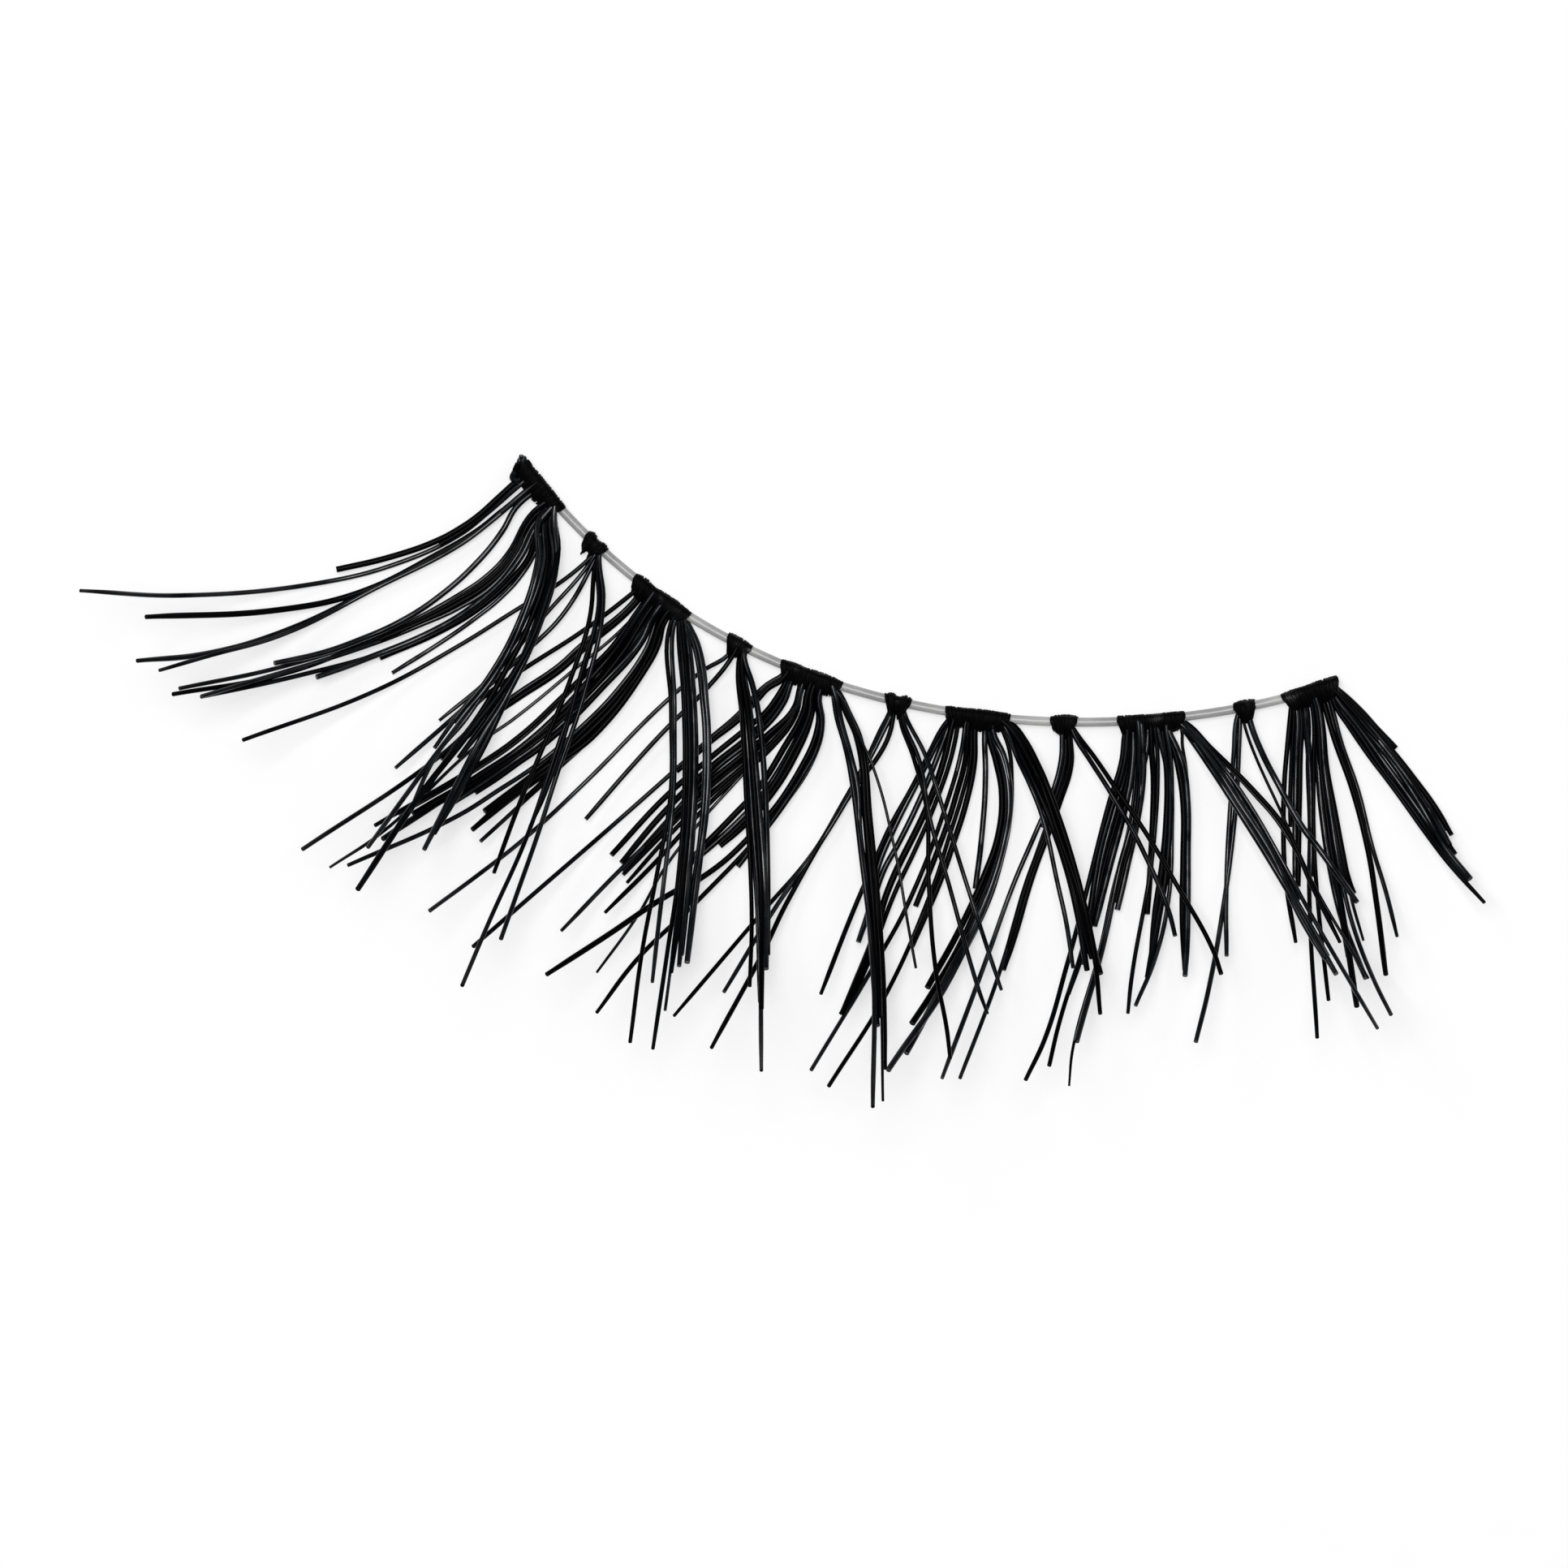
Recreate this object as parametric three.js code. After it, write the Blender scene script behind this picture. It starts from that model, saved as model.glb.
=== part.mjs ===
// A clustered false eyelash strip for one eye, lying on a surface with its fibre tips curled up.
// A clear band carries eleven knots of black fibre, and each knot holds two to four locks.
// Millimetres, +Z up. The origin is under the middle knot, on the face that is glued to the eyelid.
// +X runs along the band to the inner corner of the eye, and the fibres hang to -Y.
import * as THREE from "three";

// Band: a clear thread along one smooth bend, from the outer to the inner corner of the eye.
const BAND = {
  diameter: 0.32,
  sides: 8,
  steps: 44,
  outerEnd: new THREE.Vector2(-11.9, 7.6),
  outerHandle: new THREE.Vector2(-4.0, -2.95),
  innerHandle: new THREE.Vector2(10.1, -1.0),
  innerEnd: new THREE.Vector2(14.0, 0.7),
};

// Knots: short eight-sided barrels threaded on the band, each with a flat underside on the surface.
const KNOT = {
  width: 0.66,
  endWidth: 0.54,
  boreDiameter: 0.46,
  sides: 8,
  wideShoulder: 0.25,
  smallShoulder: 0.18,
};
const BAND_HEIGHT = KNOT.width / 2;

// Locks: thin curved blades that leave the front of a knot, spread, and curl up at the tips.
// fullWidthAt to thinFrom: places along a lock, as shares of the way from its root to its tip.
const LOCK = {
  rootGap: 0.14,
  rootWidth: 0.32,
  rootThickness: 0.3,
  bellyThickness: 0.4,
  tipThickness: 0.16,
  tipShare: 0.45,
  tipPoint: 0.12,
  fullWidthAt: 0.65,
  drawInFrom: 0.7,
  fullThicknessAt: 0.2,
  thinFrom: 0.5,
  climb: 1.2,
  across: 3,
  along: 9,
};

// Curl: every lock lies on one shared surface, flat near the band and rising on an arc beyond it.
// The rise starts further from the band at the outer corner, where the fibres are longest.
const CURL = { outerStart: 6.4, innerStart: 4.0, radius: 6.5 };
const BAND_SAMPLES = 90;

// The underside of each of the two layers: outward locks below, inward locks crossing above them.
const LAYER_FLOOR = { under: 0, over: 0.72 };

// at: middle of the knot along the band; length: along the band; shoulder: length of each tapered end.
const KNOTS = [
  { name: "knot_01", at: 1.05, length: 2.0, shoulder: KNOT.wideShoulder },
  { name: "knot_02", at: 3.5, length: 0.9, shoulder: KNOT.smallShoulder },
  { name: "knot_03", at: 6.2, length: 2.2, shoulder: KNOT.wideShoulder },
  { name: "knot_04", at: 9.08, length: 0.88, shoulder: KNOT.smallShoulder },
  { name: "knot_05", at: 11.55, length: 2.1, shoulder: KNOT.wideShoulder },
  { name: "knot_06", at: 14.42, length: 0.9, shoulder: KNOT.smallShoulder },
  { name: "knot_07", at: 16.96, length: 2.1, shoulder: KNOT.wideShoulder },
  { name: "knot_08", at: 19.72, length: 0.9, shoulder: KNOT.smallShoulder },
  { name: "knot_09", at: 22.47, length: 2.2, shoulder: KNOT.wideShoulder },
  { name: "knot_10", at: 25.46, length: 0.74, shoulder: KNOT.smallShoulder },
  { name: "knot_11", at: 27.63, length: 1.9, shoulder: KNOT.wideShoulder },
];

// root: place on the knot, from its middle towards the inner corner; lean: degrees from -Y towards +X;
// reach: root to tip in plan; bow: how far the lock bulges from that line; width: at its widest.
const LOCKS = {
  knot_01: [
    { name: "lock_01_sweep", root: -0.5, lean: -73, reach: 14.2, bow: 1.1, width: 2.1, layer: "under" },
    { name: "lock_01_outer", root: 0.15, lean: -59, reach: 11.0, bow: 1.2, width: 1.2, layer: "under" },
    { name: "lock_01_drop", root: 0.8, lean: -25, reach: 12.1, bow: 0.9, width: 1.4, layer: "over" },
  ],
  knot_02: [
    { name: "lock_02_outer", root: -0.2, lean: -54, reach: 10.4, bow: 0.3, width: 1.1, layer: "under" },
    { name: "lock_02_drop", root: 0.25, lean: -17, reach: 12.6, bow: 0.7, width: 0.9, layer: "over" },
  ],
  knot_03: [
    { name: "lock_03_outer", root: -0.2, lean: -48, reach: 11.6, bow: 0.8, width: 2.3, layer: "under" },
    { name: "lock_03_drop", root: 0.85, lean: -4, reach: 12.4, bow: 0.5, width: 1.2, layer: "over" },
  ],
  knot_04: [
    { name: "lock_04_outer", root: -0.2, lean: -48, reach: 10.8, bow: 0.1, width: 0.8, layer: "under" },
    { name: "lock_04_drop", root: 0.25, lean: 3, reach: 12.2, bow: 0.1, width: 0.8, layer: "over" },
  ],
  knot_05: [
    { name: "lock_05_outer", root: -0.2, lean: -40, reach: 10.9, bow: 0.9, width: 2.2, layer: "under" },
    { name: "lock_05_drop", root: 0.85, lean: 6, reach: 12.9, bow: 0.4, width: 0.9, layer: "over" },
  ],
  knot_06: [
    { name: "lock_06_outer", root: -0.2, lean: -31, reach: 11.4, bow: 0.4, width: 0.9, layer: "under" },
    { name: "lock_06_inner", root: 0.2, lean: 14, reach: 10.0, bow: 0.2, width: 1.3, layer: "over" },
  ],
  knot_07: [
    { name: "lock_07_outer", root: -0.5, lean: -23, reach: 10.8, bow: 0.2, width: 1.6, layer: "under" },
    { name: "lock_07_curve", root: 0.4, lean: -15, reach: 10.4, bow: 1.4, width: 0.9, layer: "under" },
    { name: "lock_07_inner", root: 0.9, lean: 18, reach: 8.8, bow: 0.5, width: 0.9, layer: "over" },
  ],
  knot_08: [
    { name: "lock_08_outer", root: -0.15, lean: -18, reach: 10.8, bow: 0.4, width: 0.8, layer: "under" },
    { name: "lock_08_inner", root: 0.25, lean: 29, reach: 8.2, bow: 0.4, width: 0.7, layer: "over" },
  ],
  knot_09: [
    { name: "lock_09_outer", root: -0.7, lean: -13, reach: 10.8, bow: 0.1, width: 1.0, layer: "under" },
    { name: "lock_09_middle", root: 0.0, lean: -3, reach: 8.6, bow: 0.2, width: 0.8, layer: "under" },
    { name: "lock_09_straight", root: 0.55, lean: 2, reach: 7.8, bow: 0.2, width: 0.5, layer: "under" },
    { name: "lock_09_inner", root: 0.98, lean: 32, reach: 10.2, bow: 0.1, width: 0.7, layer: "over" },
  ],
  knot_10: [
    { name: "lock_10_outer", root: -0.18, lean: -6, reach: 9.4, bow: 0.2, width: 0.6, layer: "under" },
    { name: "lock_10_inner", root: 0.22, lean: 24, reach: 7.4, bow: 0.1, width: 0.6, layer: "over" },
  ],
  knot_11: [
    { name: "lock_11_outer", root: -0.62, lean: 0, reach: 7.0, bow: -0.25, width: 0.5, layer: "under" },
    { name: "lock_11_middle", root: -0.1, lean: 6, reach: 9.4, bow: 0.1, width: 0.9, layer: "under" },
    { name: "lock_11_inner", root: 0.4, lean: 14, reach: 8.4, bow: 0.3, width: 0.6, layer: "under" },
    { name: "lock_11_corner", root: 0.82, lean: 36, reach: 7.3, bow: 0.4, width: 0.8, layer: "under" },
  ],
};

const bandMaterial = new THREE.MeshStandardMaterial({
  name: "clear_nylon",
  color: 0xb9bcc0,
  roughness: 0.22,
  metalness: 0,
  transparent: true,
  opacity: 0.75,
});
const knotMaterial = new THREE.MeshStandardMaterial({
  name: "wound_fibre",
  color: 0x0b0b0d,
  roughness: 0.6,
  metalness: 0,
});
const fibreMaterial = new THREE.MeshStandardMaterial({
  name: "black_fibre",
  color: 0x0f1013,
  roughness: 0.45,
  metalness: 0,
});

const bandCurve = new THREE.CubicBezierCurve3(
  ...[BAND.outerEnd, BAND.outerHandle, BAND.innerHandle, BAND.innerEnd].map(
    (point) => new THREE.Vector3(point.x, point.y, BAND_HEIGHT),
  ),
);
const bandSamples = bandCurve.getSpacedPoints(BAND_SAMPLES);

/** Place, heading along the band and front direction of the point a given length along the band. */
function bandPlace(length) {
  const share = length / bandCurve.getLength();
  const point = bandCurve.getPointAt(share);
  const along = bandCurve.getTangentAt(share);
  const front = new THREE.Vector2(along.y, -along.x);
  return { point, along, front };
}

/** Regular polygon with a flat side facing down. */
function flatSidedPolygon(diameter, sides) {
  const corners = Array.from({ length: sides }, (_, index) => {
    const angle = (2 * Math.PI * (index + 0.5)) / sides;
    return new THREE.Vector2(Math.cos(angle), Math.sin(angle)).multiplyScalar(diameter / 2);
  });
  return new THREE.Shape(corners);
}

/** The clear thread, swept along its bend. */
function buildBand() {
  const section = flatSidedPolygon(BAND.diameter, BAND.sides);
  const geometry = new THREE.ExtrudeGeometry(section, { steps: BAND.steps, extrudePath: bandCurve });
  const mesh = new THREE.Mesh(geometry, bandMaterial);
  mesh.name = "band";
  return mesh;
}

/** One knot: a barrel with a bore, turned about the band and laid along it. */
function buildKnot({ name, at, length, shoulder }) {
  const toCorner = 1 / Math.cos(Math.PI / KNOT.sides);
  const body = (KNOT.width / 2) * toCorner;
  const end = (KNOT.endWidth / 2) * toCorner;
  const bore = KNOT.boreDiameter / 2;
  const half = length / 2;
  const profile = [
    new THREE.Vector2(end, -half),
    new THREE.Vector2(body, -half + shoulder),
    new THREE.Vector2(body, half - shoulder),
    new THREE.Vector2(end, half),
    new THREE.Vector2(bore, half),
    new THREE.Vector2(bore, -half),
    new THREE.Vector2(end, -half),
  ];
  const geometry = new THREE.LatheGeometry(profile, KNOT.sides, Math.PI / KNOT.sides);
  const mesh = new THREE.Mesh(geometry, knotMaterial);
  const { point, along } = bandPlace(at);
  mesh.name = name;
  mesh.position.copy(point);
  mesh.rotation.z = Math.atan2(along.y, along.x) - Math.PI / 2;
  return mesh;
}

/** Height that the curl adds at a place in plan. */
function curlRise(place) {
  const gaps = bandSamples.map((sample) => Math.hypot(sample.x - place.x, sample.y - place.y));
  const nearest = Math.min(...gaps);
  const share = gaps.indexOf(nearest) / BAND_SAMPLES;
  const start = THREE.MathUtils.lerp(CURL.outerStart, CURL.innerStart, share);
  const past = Math.max(0, nearest - start);
  return (past * past) / (2 * CURL.radius);
}

/** Centre line of a lock in plan: a bend from the front of its knot to its tip. */
function lockLine({ root, lean, reach, bow }, knot) {
  const { point, front } = bandPlace(knot.at + root);
  const start = new THREE.Vector2(point.x, point.y).addScaledVector(front, KNOT.width / 2 + LOCK.rootGap);
  const angle = THREE.MathUtils.degToRad(lean);
  const heading = new THREE.Vector2(Math.sin(angle), -Math.cos(angle));
  const aside = new THREE.Vector2(-heading.y, heading.x);
  const tip = start.clone().addScaledVector(heading, reach);
  const middle = start.clone().addScaledVector(heading, reach / 2).addScaledVector(aside, 2 * bow);
  return new THREE.QuadraticBezierCurve(start, middle, tip);
}

/** Width of a lock a given share of the way to its tip: it spreads, then draws in to a blunt tip. */
function lockWidth(width, share) {
  const spread = THREE.MathUtils.smoothstep(share, 0, LOCK.fullWidthAt);
  const drawnIn = THREE.MathUtils.smoothstep(share, LOCK.drawInFrom, 1);
  const full = THREE.MathUtils.lerp(LOCK.rootWidth, width, spread);
  return full * THREE.MathUtils.lerp(1, LOCK.tipShare, drawnIn);
}

/** Thickness of a lock a given share of the way to its tip. */
function lockThickness(share) {
  const belly = THREE.MathUtils.smoothstep(share, 0, LOCK.fullThicknessAt);
  const tip = THREE.MathUtils.smoothstep(share, LOCK.thinFrom, 1);
  const full = THREE.MathUtils.lerp(LOCK.rootThickness, LOCK.bellyThickness, belly);
  return THREE.MathUtils.lerp(full, LOCK.tipThickness, tip);
}

/** One lock: a grid-sided box bent along the lock's line and laid on the curl. */
function buildLock(row, knot) {
  const geometry = new THREE.BoxGeometry(1, 1, 1, LOCK.across, LOCK.along, 1);
  const line = lockLine(row, knot);
  const corners = geometry.getAttribute("position");
  const rootFloor = BAND_HEIGHT - LOCK.rootThickness / 2;
  for (let index = 0; index < corners.count; index += 1) {
    const side = corners.getX(index);
    const shorter = 1 - LOCK.tipPoint * (2 * side) ** 2;
    const share = (corners.getY(index) + 0.5) * shorter;
    const up = corners.getZ(index) + 0.5;
    const heading = line.getTangent(share);
    const place = line.getPoint(share);
    const aside = side * lockWidth(row.width, share);
    place.x += heading.y * aside;
    place.y -= heading.x * aside;
    const settled = THREE.MathUtils.smoothstep(share * row.reach, 0, LOCK.climb);
    const floor = THREE.MathUtils.lerp(rootFloor, LAYER_FLOOR[row.layer], settled);
    corners.setXYZ(index, place.x, place.y, floor + curlRise(place) + up * lockThickness(share));
  }
  geometry.computeVertexNormals();
  const mesh = new THREE.Mesh(geometry, fibreMaterial);
  mesh.name = row.name;
  return mesh;
}

/** The eleven clusters: each knot with the locks that it holds. */
function buildClusters() {
  const clusters = new THREE.Group();
  clusters.name = "clusters";
  for (const knot of KNOTS) {
    const cluster = new THREE.Group();
    cluster.name = knot.name.replace("knot", "cluster");
    cluster.add(buildKnot(knot));
    LOCKS[knot.name].forEach((row) => cluster.add(buildLock(row, knot)));
    clusters.add(cluster);
  }
  return clusters;
}

const lash = new THREE.Group();
lash.name = "false_eyelash_strip";
lash.add(buildBand());
lash.add(buildClusters());

export default lash;
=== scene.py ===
"""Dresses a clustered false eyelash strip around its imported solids.

The strip lies on a pale floor and is seen from straight above. A clear thread carries eleven knots of
wound black fibre, and each knot holds locks of single fibres whose tips curl up off the floor.
Lengths are written in millimetres and become metres through MM.
"""

import logging
import math
from dataclasses import dataclass
from enum import Enum
from typing import Any

import bpy
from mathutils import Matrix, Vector

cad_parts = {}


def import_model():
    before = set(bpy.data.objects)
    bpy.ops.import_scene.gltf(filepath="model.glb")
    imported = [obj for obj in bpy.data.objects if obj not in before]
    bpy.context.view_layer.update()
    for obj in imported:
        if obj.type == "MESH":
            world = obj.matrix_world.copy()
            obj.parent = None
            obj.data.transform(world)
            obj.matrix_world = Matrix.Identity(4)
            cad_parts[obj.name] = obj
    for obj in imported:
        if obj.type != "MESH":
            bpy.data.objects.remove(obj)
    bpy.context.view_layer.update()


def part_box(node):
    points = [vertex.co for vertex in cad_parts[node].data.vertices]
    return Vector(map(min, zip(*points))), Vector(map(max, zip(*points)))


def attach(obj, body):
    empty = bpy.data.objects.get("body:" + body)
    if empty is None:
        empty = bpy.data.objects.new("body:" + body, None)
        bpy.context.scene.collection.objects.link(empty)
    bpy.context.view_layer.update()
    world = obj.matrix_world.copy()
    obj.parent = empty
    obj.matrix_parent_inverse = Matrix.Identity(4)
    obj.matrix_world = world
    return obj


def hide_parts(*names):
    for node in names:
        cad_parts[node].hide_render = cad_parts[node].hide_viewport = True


MM = 0.001
BODY = "root"
LOG = logging.getLogger("lash")

Pixel = tuple[float, float]
Flat = tuple[float, float]
Span = tuple[float, float]
Colour = tuple[float, float, float]
Stop = tuple[float, Colour]

WHITE = (1.0, 1.0, 1.0, 1.0)
NOISE_MIDDLE = 0.5
WHOLE: Span = (0.0, 1.0)
BOTH_WAYS: Span = (-1.0, 1.0)


# Node trees


class Wire:
    """An output of a node tree that takes part in Python sums."""

    def __init__(self, graph: "Graph", socket: bpy.types.NodeSocket) -> None:
        """Keeps the tree that the output belongs to, and the output.

        Args:
            graph: The tree's builder.
            socket: The output.
        """
        self.graph = graph
        self.socket = socket

    def sibling(self, name: str) -> "Wire":
        """Another output of the same node, by name."""
        return Wire(self.graph, self.socket.node.outputs[name])

    def _sum(self, operation: str, first: Any, second: Any) -> "Wire":
        """Adds one Math node.

        Args:
            operation: The node's operation.
            first: A wire or a number.
            second: A wire or a number.

        Returns:
            The node's result.
        """
        return self.graph.add("ShaderNodeMath", {"operation": operation}, {0: first, 1: second})

    def __add__(self, other: Any) -> "Wire":
        """self + other."""
        return self._sum("ADD", self, other)

    def __radd__(self, other: Any) -> "Wire":
        """other + self."""
        return self._sum("ADD", other, self)

    def __sub__(self, other: Any) -> "Wire":
        """self - other."""
        return self._sum("SUBTRACT", self, other)

    def __rsub__(self, other: Any) -> "Wire":
        """other - self."""
        return self._sum("SUBTRACT", other, self)

    def __mul__(self, other: Any) -> "Wire":
        """self * other."""
        return self._sum("MULTIPLY", self, other)

    def __rmul__(self, other: Any) -> "Wire":
        """other * self."""
        return self._sum("MULTIPLY", other, self)

    def __truediv__(self, other: Any) -> "Wire":
        """self / other."""
        return self._sum("DIVIDE", self, other)

    def __pow__(self, other: Any) -> "Wire":
        """self raised to other."""
        return self._sum("POWER", self, other)

    def at_least(self, other: Any) -> "Wire":
        """The larger of self and other."""
        return self._sum("MAXIMUM", self, other)

    def at_most(self, other: Any) -> "Wire":
        """The smaller of self and other."""
        return self._sum("MINIMUM", self, other)

    def magnitude(self) -> "Wire":
        """self without its sign."""
        return self.graph.add("ShaderNodeMath", {"operation": "ABSOLUTE"}, {0: self})

    def swing(self) -> "Wire":
        """Noise from 0 to 1 as a swing of a half to both sides of 0."""
        return self - NOISE_MIDDLE

    def circle(self) -> tuple["Wire", "Wire"]:
        """The cosine and the sine of self, as an angle in radians.

        Returns:
            The cosine, then the sine.
        """
        cosine = self.graph.add("ShaderNodeMath", {"operation": "COSINE"}, {0: self})
        sine = self.graph.add("ShaderNodeMath", {"operation": "SINE"}, {0: self})
        return cosine, sine


class Graph:
    """Adds nodes to one tree, for a material or for geometry."""

    def __init__(self, tree: bpy.types.NodeTree) -> None:
        """Keeps the tree.

        Args:
            tree: The tree that nodes are added to.
        """
        self.tree = tree

    def add(
        self,
        kind: str,
        settings: dict[str, Any] | None = None,
        links: dict[str | int, Any] | None = None,
        output: str | int = 0,
    ) -> Wire:
        """Adds one node.

        Args:
            kind: The node's type name.
            settings: The node's own settings, set first. The key stops holds a colour ramp's stops.
            links: A value or a wire for each input, by name or by place.
            output: The output that is returned.

        Returns:
            The output.
        """
        node = self.tree.nodes.new(kind)
        for name, value in (settings or {}).items():
            if name == "stops":
                self._set_stops(node.color_ramp, value)
            else:
                setattr(node, name, value)
        for key, value in (links or {}).items():
            self.feed(self._input(node, key), value)
        enabled = [socket for socket in node.outputs if socket.enabled]
        return Wire(self, node.outputs[output] if isinstance(output, str) else enabled[output])

    def feed(self, socket: bpy.types.NodeSocket, value: Any) -> None:
        """Links a wire to an input, or sets the input's own value.

        Args:
            socket: The input.
            value: A wire or a plain value.
        """
        if isinstance(value, Wire):
            self.tree.links.new(value.socket, socket)
        else:
            socket.default_value = value

    def smooth(self, value: Wire, low: Any, high: Any) -> Wire:
        """A smooth step from 0 at low to 1 at high."""
        links = {"Value": value, "From Min": low, "From Max": high}
        return self.add("ShaderNodeMapRange", {"interpolation_type": "SMOOTHSTEP"}, links)

    def vector(self, x: Any, y: Any, z: Any) -> Wire:
        """A vector from three numbers."""
        return self.add("ShaderNodeCombineXYZ", links={"X": x, "Y": y, "Z": z})

    def parts(self, vector: Wire) -> tuple[Wire, Wire, Wire]:
        """The three numbers of a vector."""
        x = self.add("ShaderNodeSeparateXYZ", links={"Vector": vector})
        return x, x.sibling("Y"), x.sibling("Z")

    def carried(self, name: str) -> Wire:
        """A number that the guide lines carry, by name."""
        return self.add("GeometryNodeInputNamedAttribute", {"data_type": "FLOAT"}, {"Name": name})

    def noise(self, course: Wire, scale: float = 1.0, detail: float = 1.0, output: str | int = 0) -> Wire:
        """Smooth noise along a course: one number, or three from the output Color."""
        links = {"Vector": course, "Scale": scale, "Detail": detail}
        return self.add("ShaderNodeTexNoise", links=links, output=output)

    def surface(self) -> Wire:
        """The place on the piece that is being coloured."""
        return self.add("ShaderNodeTexCoord", output="Object")

    def ramp(self, value: Wire, dark: Stop, pale: Stop) -> Wire:
        """A colour that goes from a dark stop to a pale one as a value grows."""
        return self.add("ShaderNodeValToRGB", {"stops": (dark, pale)}, {"Fac": value})

    def bump(self, height: Wire, strength: float, depth: float) -> Wire:
        """A surface that looks as if it had small heights, with their depth in millimetres."""
        links = {"Height": height, "Strength": strength, "Distance": depth * MM}
        return self.add("ShaderNodeBump", links=links)

    def tube(self, curve: Wire, radius: Any, sides: Any) -> Wire:
        """Round closed tubes along curves.

        Args:
            curve: The curves.
            radius: The tubes' radius.
            sides: The number of sides.

        Returns:
            The tubes.
        """
        circle = self.add("GeometryNodeCurvePrimitiveCircle", links={"Resolution": sides, "Radius": 1.0})
        links = {"Curve": curve, "Profile Curve": circle, "Scale": radius, "Fill Caps": True}
        return self.add("GeometryNodeCurveToMesh", links=links)

    @staticmethod
    def _input(node: bpy.types.Node, key: str | int) -> bpy.types.NodeSocket:
        """Finds an input among the enabled ones.

        Args:
            node: The node.
            key: The input's place or its name.

        Returns:
            The input.
        """
        enabled = [socket for socket in node.inputs if socket.enabled]
        if isinstance(key, int):
            return enabled[key]
        return next(socket for socket in enabled if socket.name == key)

    @staticmethod
    def _set_stops(ramp: bpy.types.ColorRamp, stops: tuple[Stop, Stop]) -> None:
        """Sets the two stops of a colour ramp.

        Args:
            ramp: The colour ramp.
            stops: The place and the colour of each stop.
        """
        for stop, (place, colour) in zip(ramp.elements, stops):
            stop.position = place
            stop.color = (*colour, 1.0)


class Recipe:
    """A Geometry Nodes tree with named inputs that turns guide lines into a plain mesh."""

    def __init__(self, name: str) -> None:
        """Starts an empty tree.

        Args:
            name: The tree's name.
        """
        self.tree = bpy.data.node_groups.new(name, "GeometryNodeTree")
        self.graph = Graph(self.tree)
        self.sockets: dict[str, bpy.types.NodeTreeInterfaceSocket] = {}
        self.values: dict[str, Any] = {}
        self.start = self.tree.nodes.new("NodeGroupInput")
        self.guides = self.input("Guides", kind="NodeSocketGeometry")
        self.tree.interface.new_socket("Mesh", in_out="OUTPUT", socket_type="NodeSocketGeometry")

    def input(self, name: str, value: Any = None, kind: str = "NodeSocketFloat") -> Wire:
        """Adds a named input to the tree.

        Args:
            name: The input's name.
            value: Its value in every piece, where the pieces don't bring their own.
            kind: The input's socket type.

        Returns:
            The input, ready to use.
        """
        self.sockets[name] = self.tree.interface.new_socket(name, in_out="INPUT", socket_type=kind)
        if value is not None:
            self.values[name] = value
        return Wire(self.graph, self.start.outputs[name])

    def end(self, mesh: Wire, finish: bpy.types.Material) -> None:
        """Closes the tree: smooth shading, real meshes and the finish.

        Args:
            mesh: The geometry that was made.
            finish: The material.
        """
        material = self.input("Finish", finish, "NodeSocketMaterial")
        mesh = self.graph.add("GeometryNodeSetShadeSmooth", links={"Geometry": mesh})
        mesh = self.graph.add("GeometryNodeRealizeInstances", links={"Geometry": mesh})
        mesh = self.graph.add("GeometryNodeSetMaterial", links={"Geometry": mesh, "Material": material})
        self.tree.links.new(mesh.socket, self.tree.nodes.new("NodeGroupOutput").inputs["Mesh"])

    def make(
        self, name: str, guides: bpy.types.Mesh, values: dict[str, Any] | None = None
    ) -> bpy.types.Object:
        """Runs the tree on guide lines and keeps the result as a plain mesh.

        Args:
            name: The piece's name.
            guides: The guide lines.
            values: The piece's own values, by the inputs' names.

        Returns:
            The piece, at the origin, with its place in its mesh.
        """
        piece = bpy.data.objects.new(name, guides)
        bpy.context.scene.collection.objects.link(piece)
        modifier = piece.modifiers.new("recipe", "NODES")
        modifier.node_group = self.tree
        for key, value in (self.values | (values or {})).items():
            modifier[self.sockets[key].identifier] = value
        graph = bpy.context.evaluated_depsgraph_get()
        mesh = bpy.data.meshes.new_from_object(piece.evaluated_get(graph), depsgraph=graph)
        mesh.name = name
        piece.modifiers.remove(modifier)
        piece.data = mesh
        bpy.data.meshes.remove(guides)
        return piece


# The strip's own shape


@dataclass(frozen=True)
class PhotoChart:
    """Turns places read from the photograph into places on the floor.

    Attributes:
        pixels_per_mm: The photograph's scale.
        middle_knot: The pixel under which the floor's origin lies.
    """

    pixels_per_mm: float = 16.0
    middle_knot: Pixel = (412.0, 926.5)

    def place(self, pixel: Pixel) -> Vector:
        """The place on the floor of one pixel of the photograph.

        Args:
            pixel: The pixel, across and down.

        Returns:
            The place, in metres.
        """
        across = (pixel[0] - self.middle_knot[0]) / self.pixels_per_mm
        up = (self.middle_knot[1] - pixel[1]) / self.pixels_per_mm
        return Vector((across * MM, up * MM, 0.0))


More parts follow.
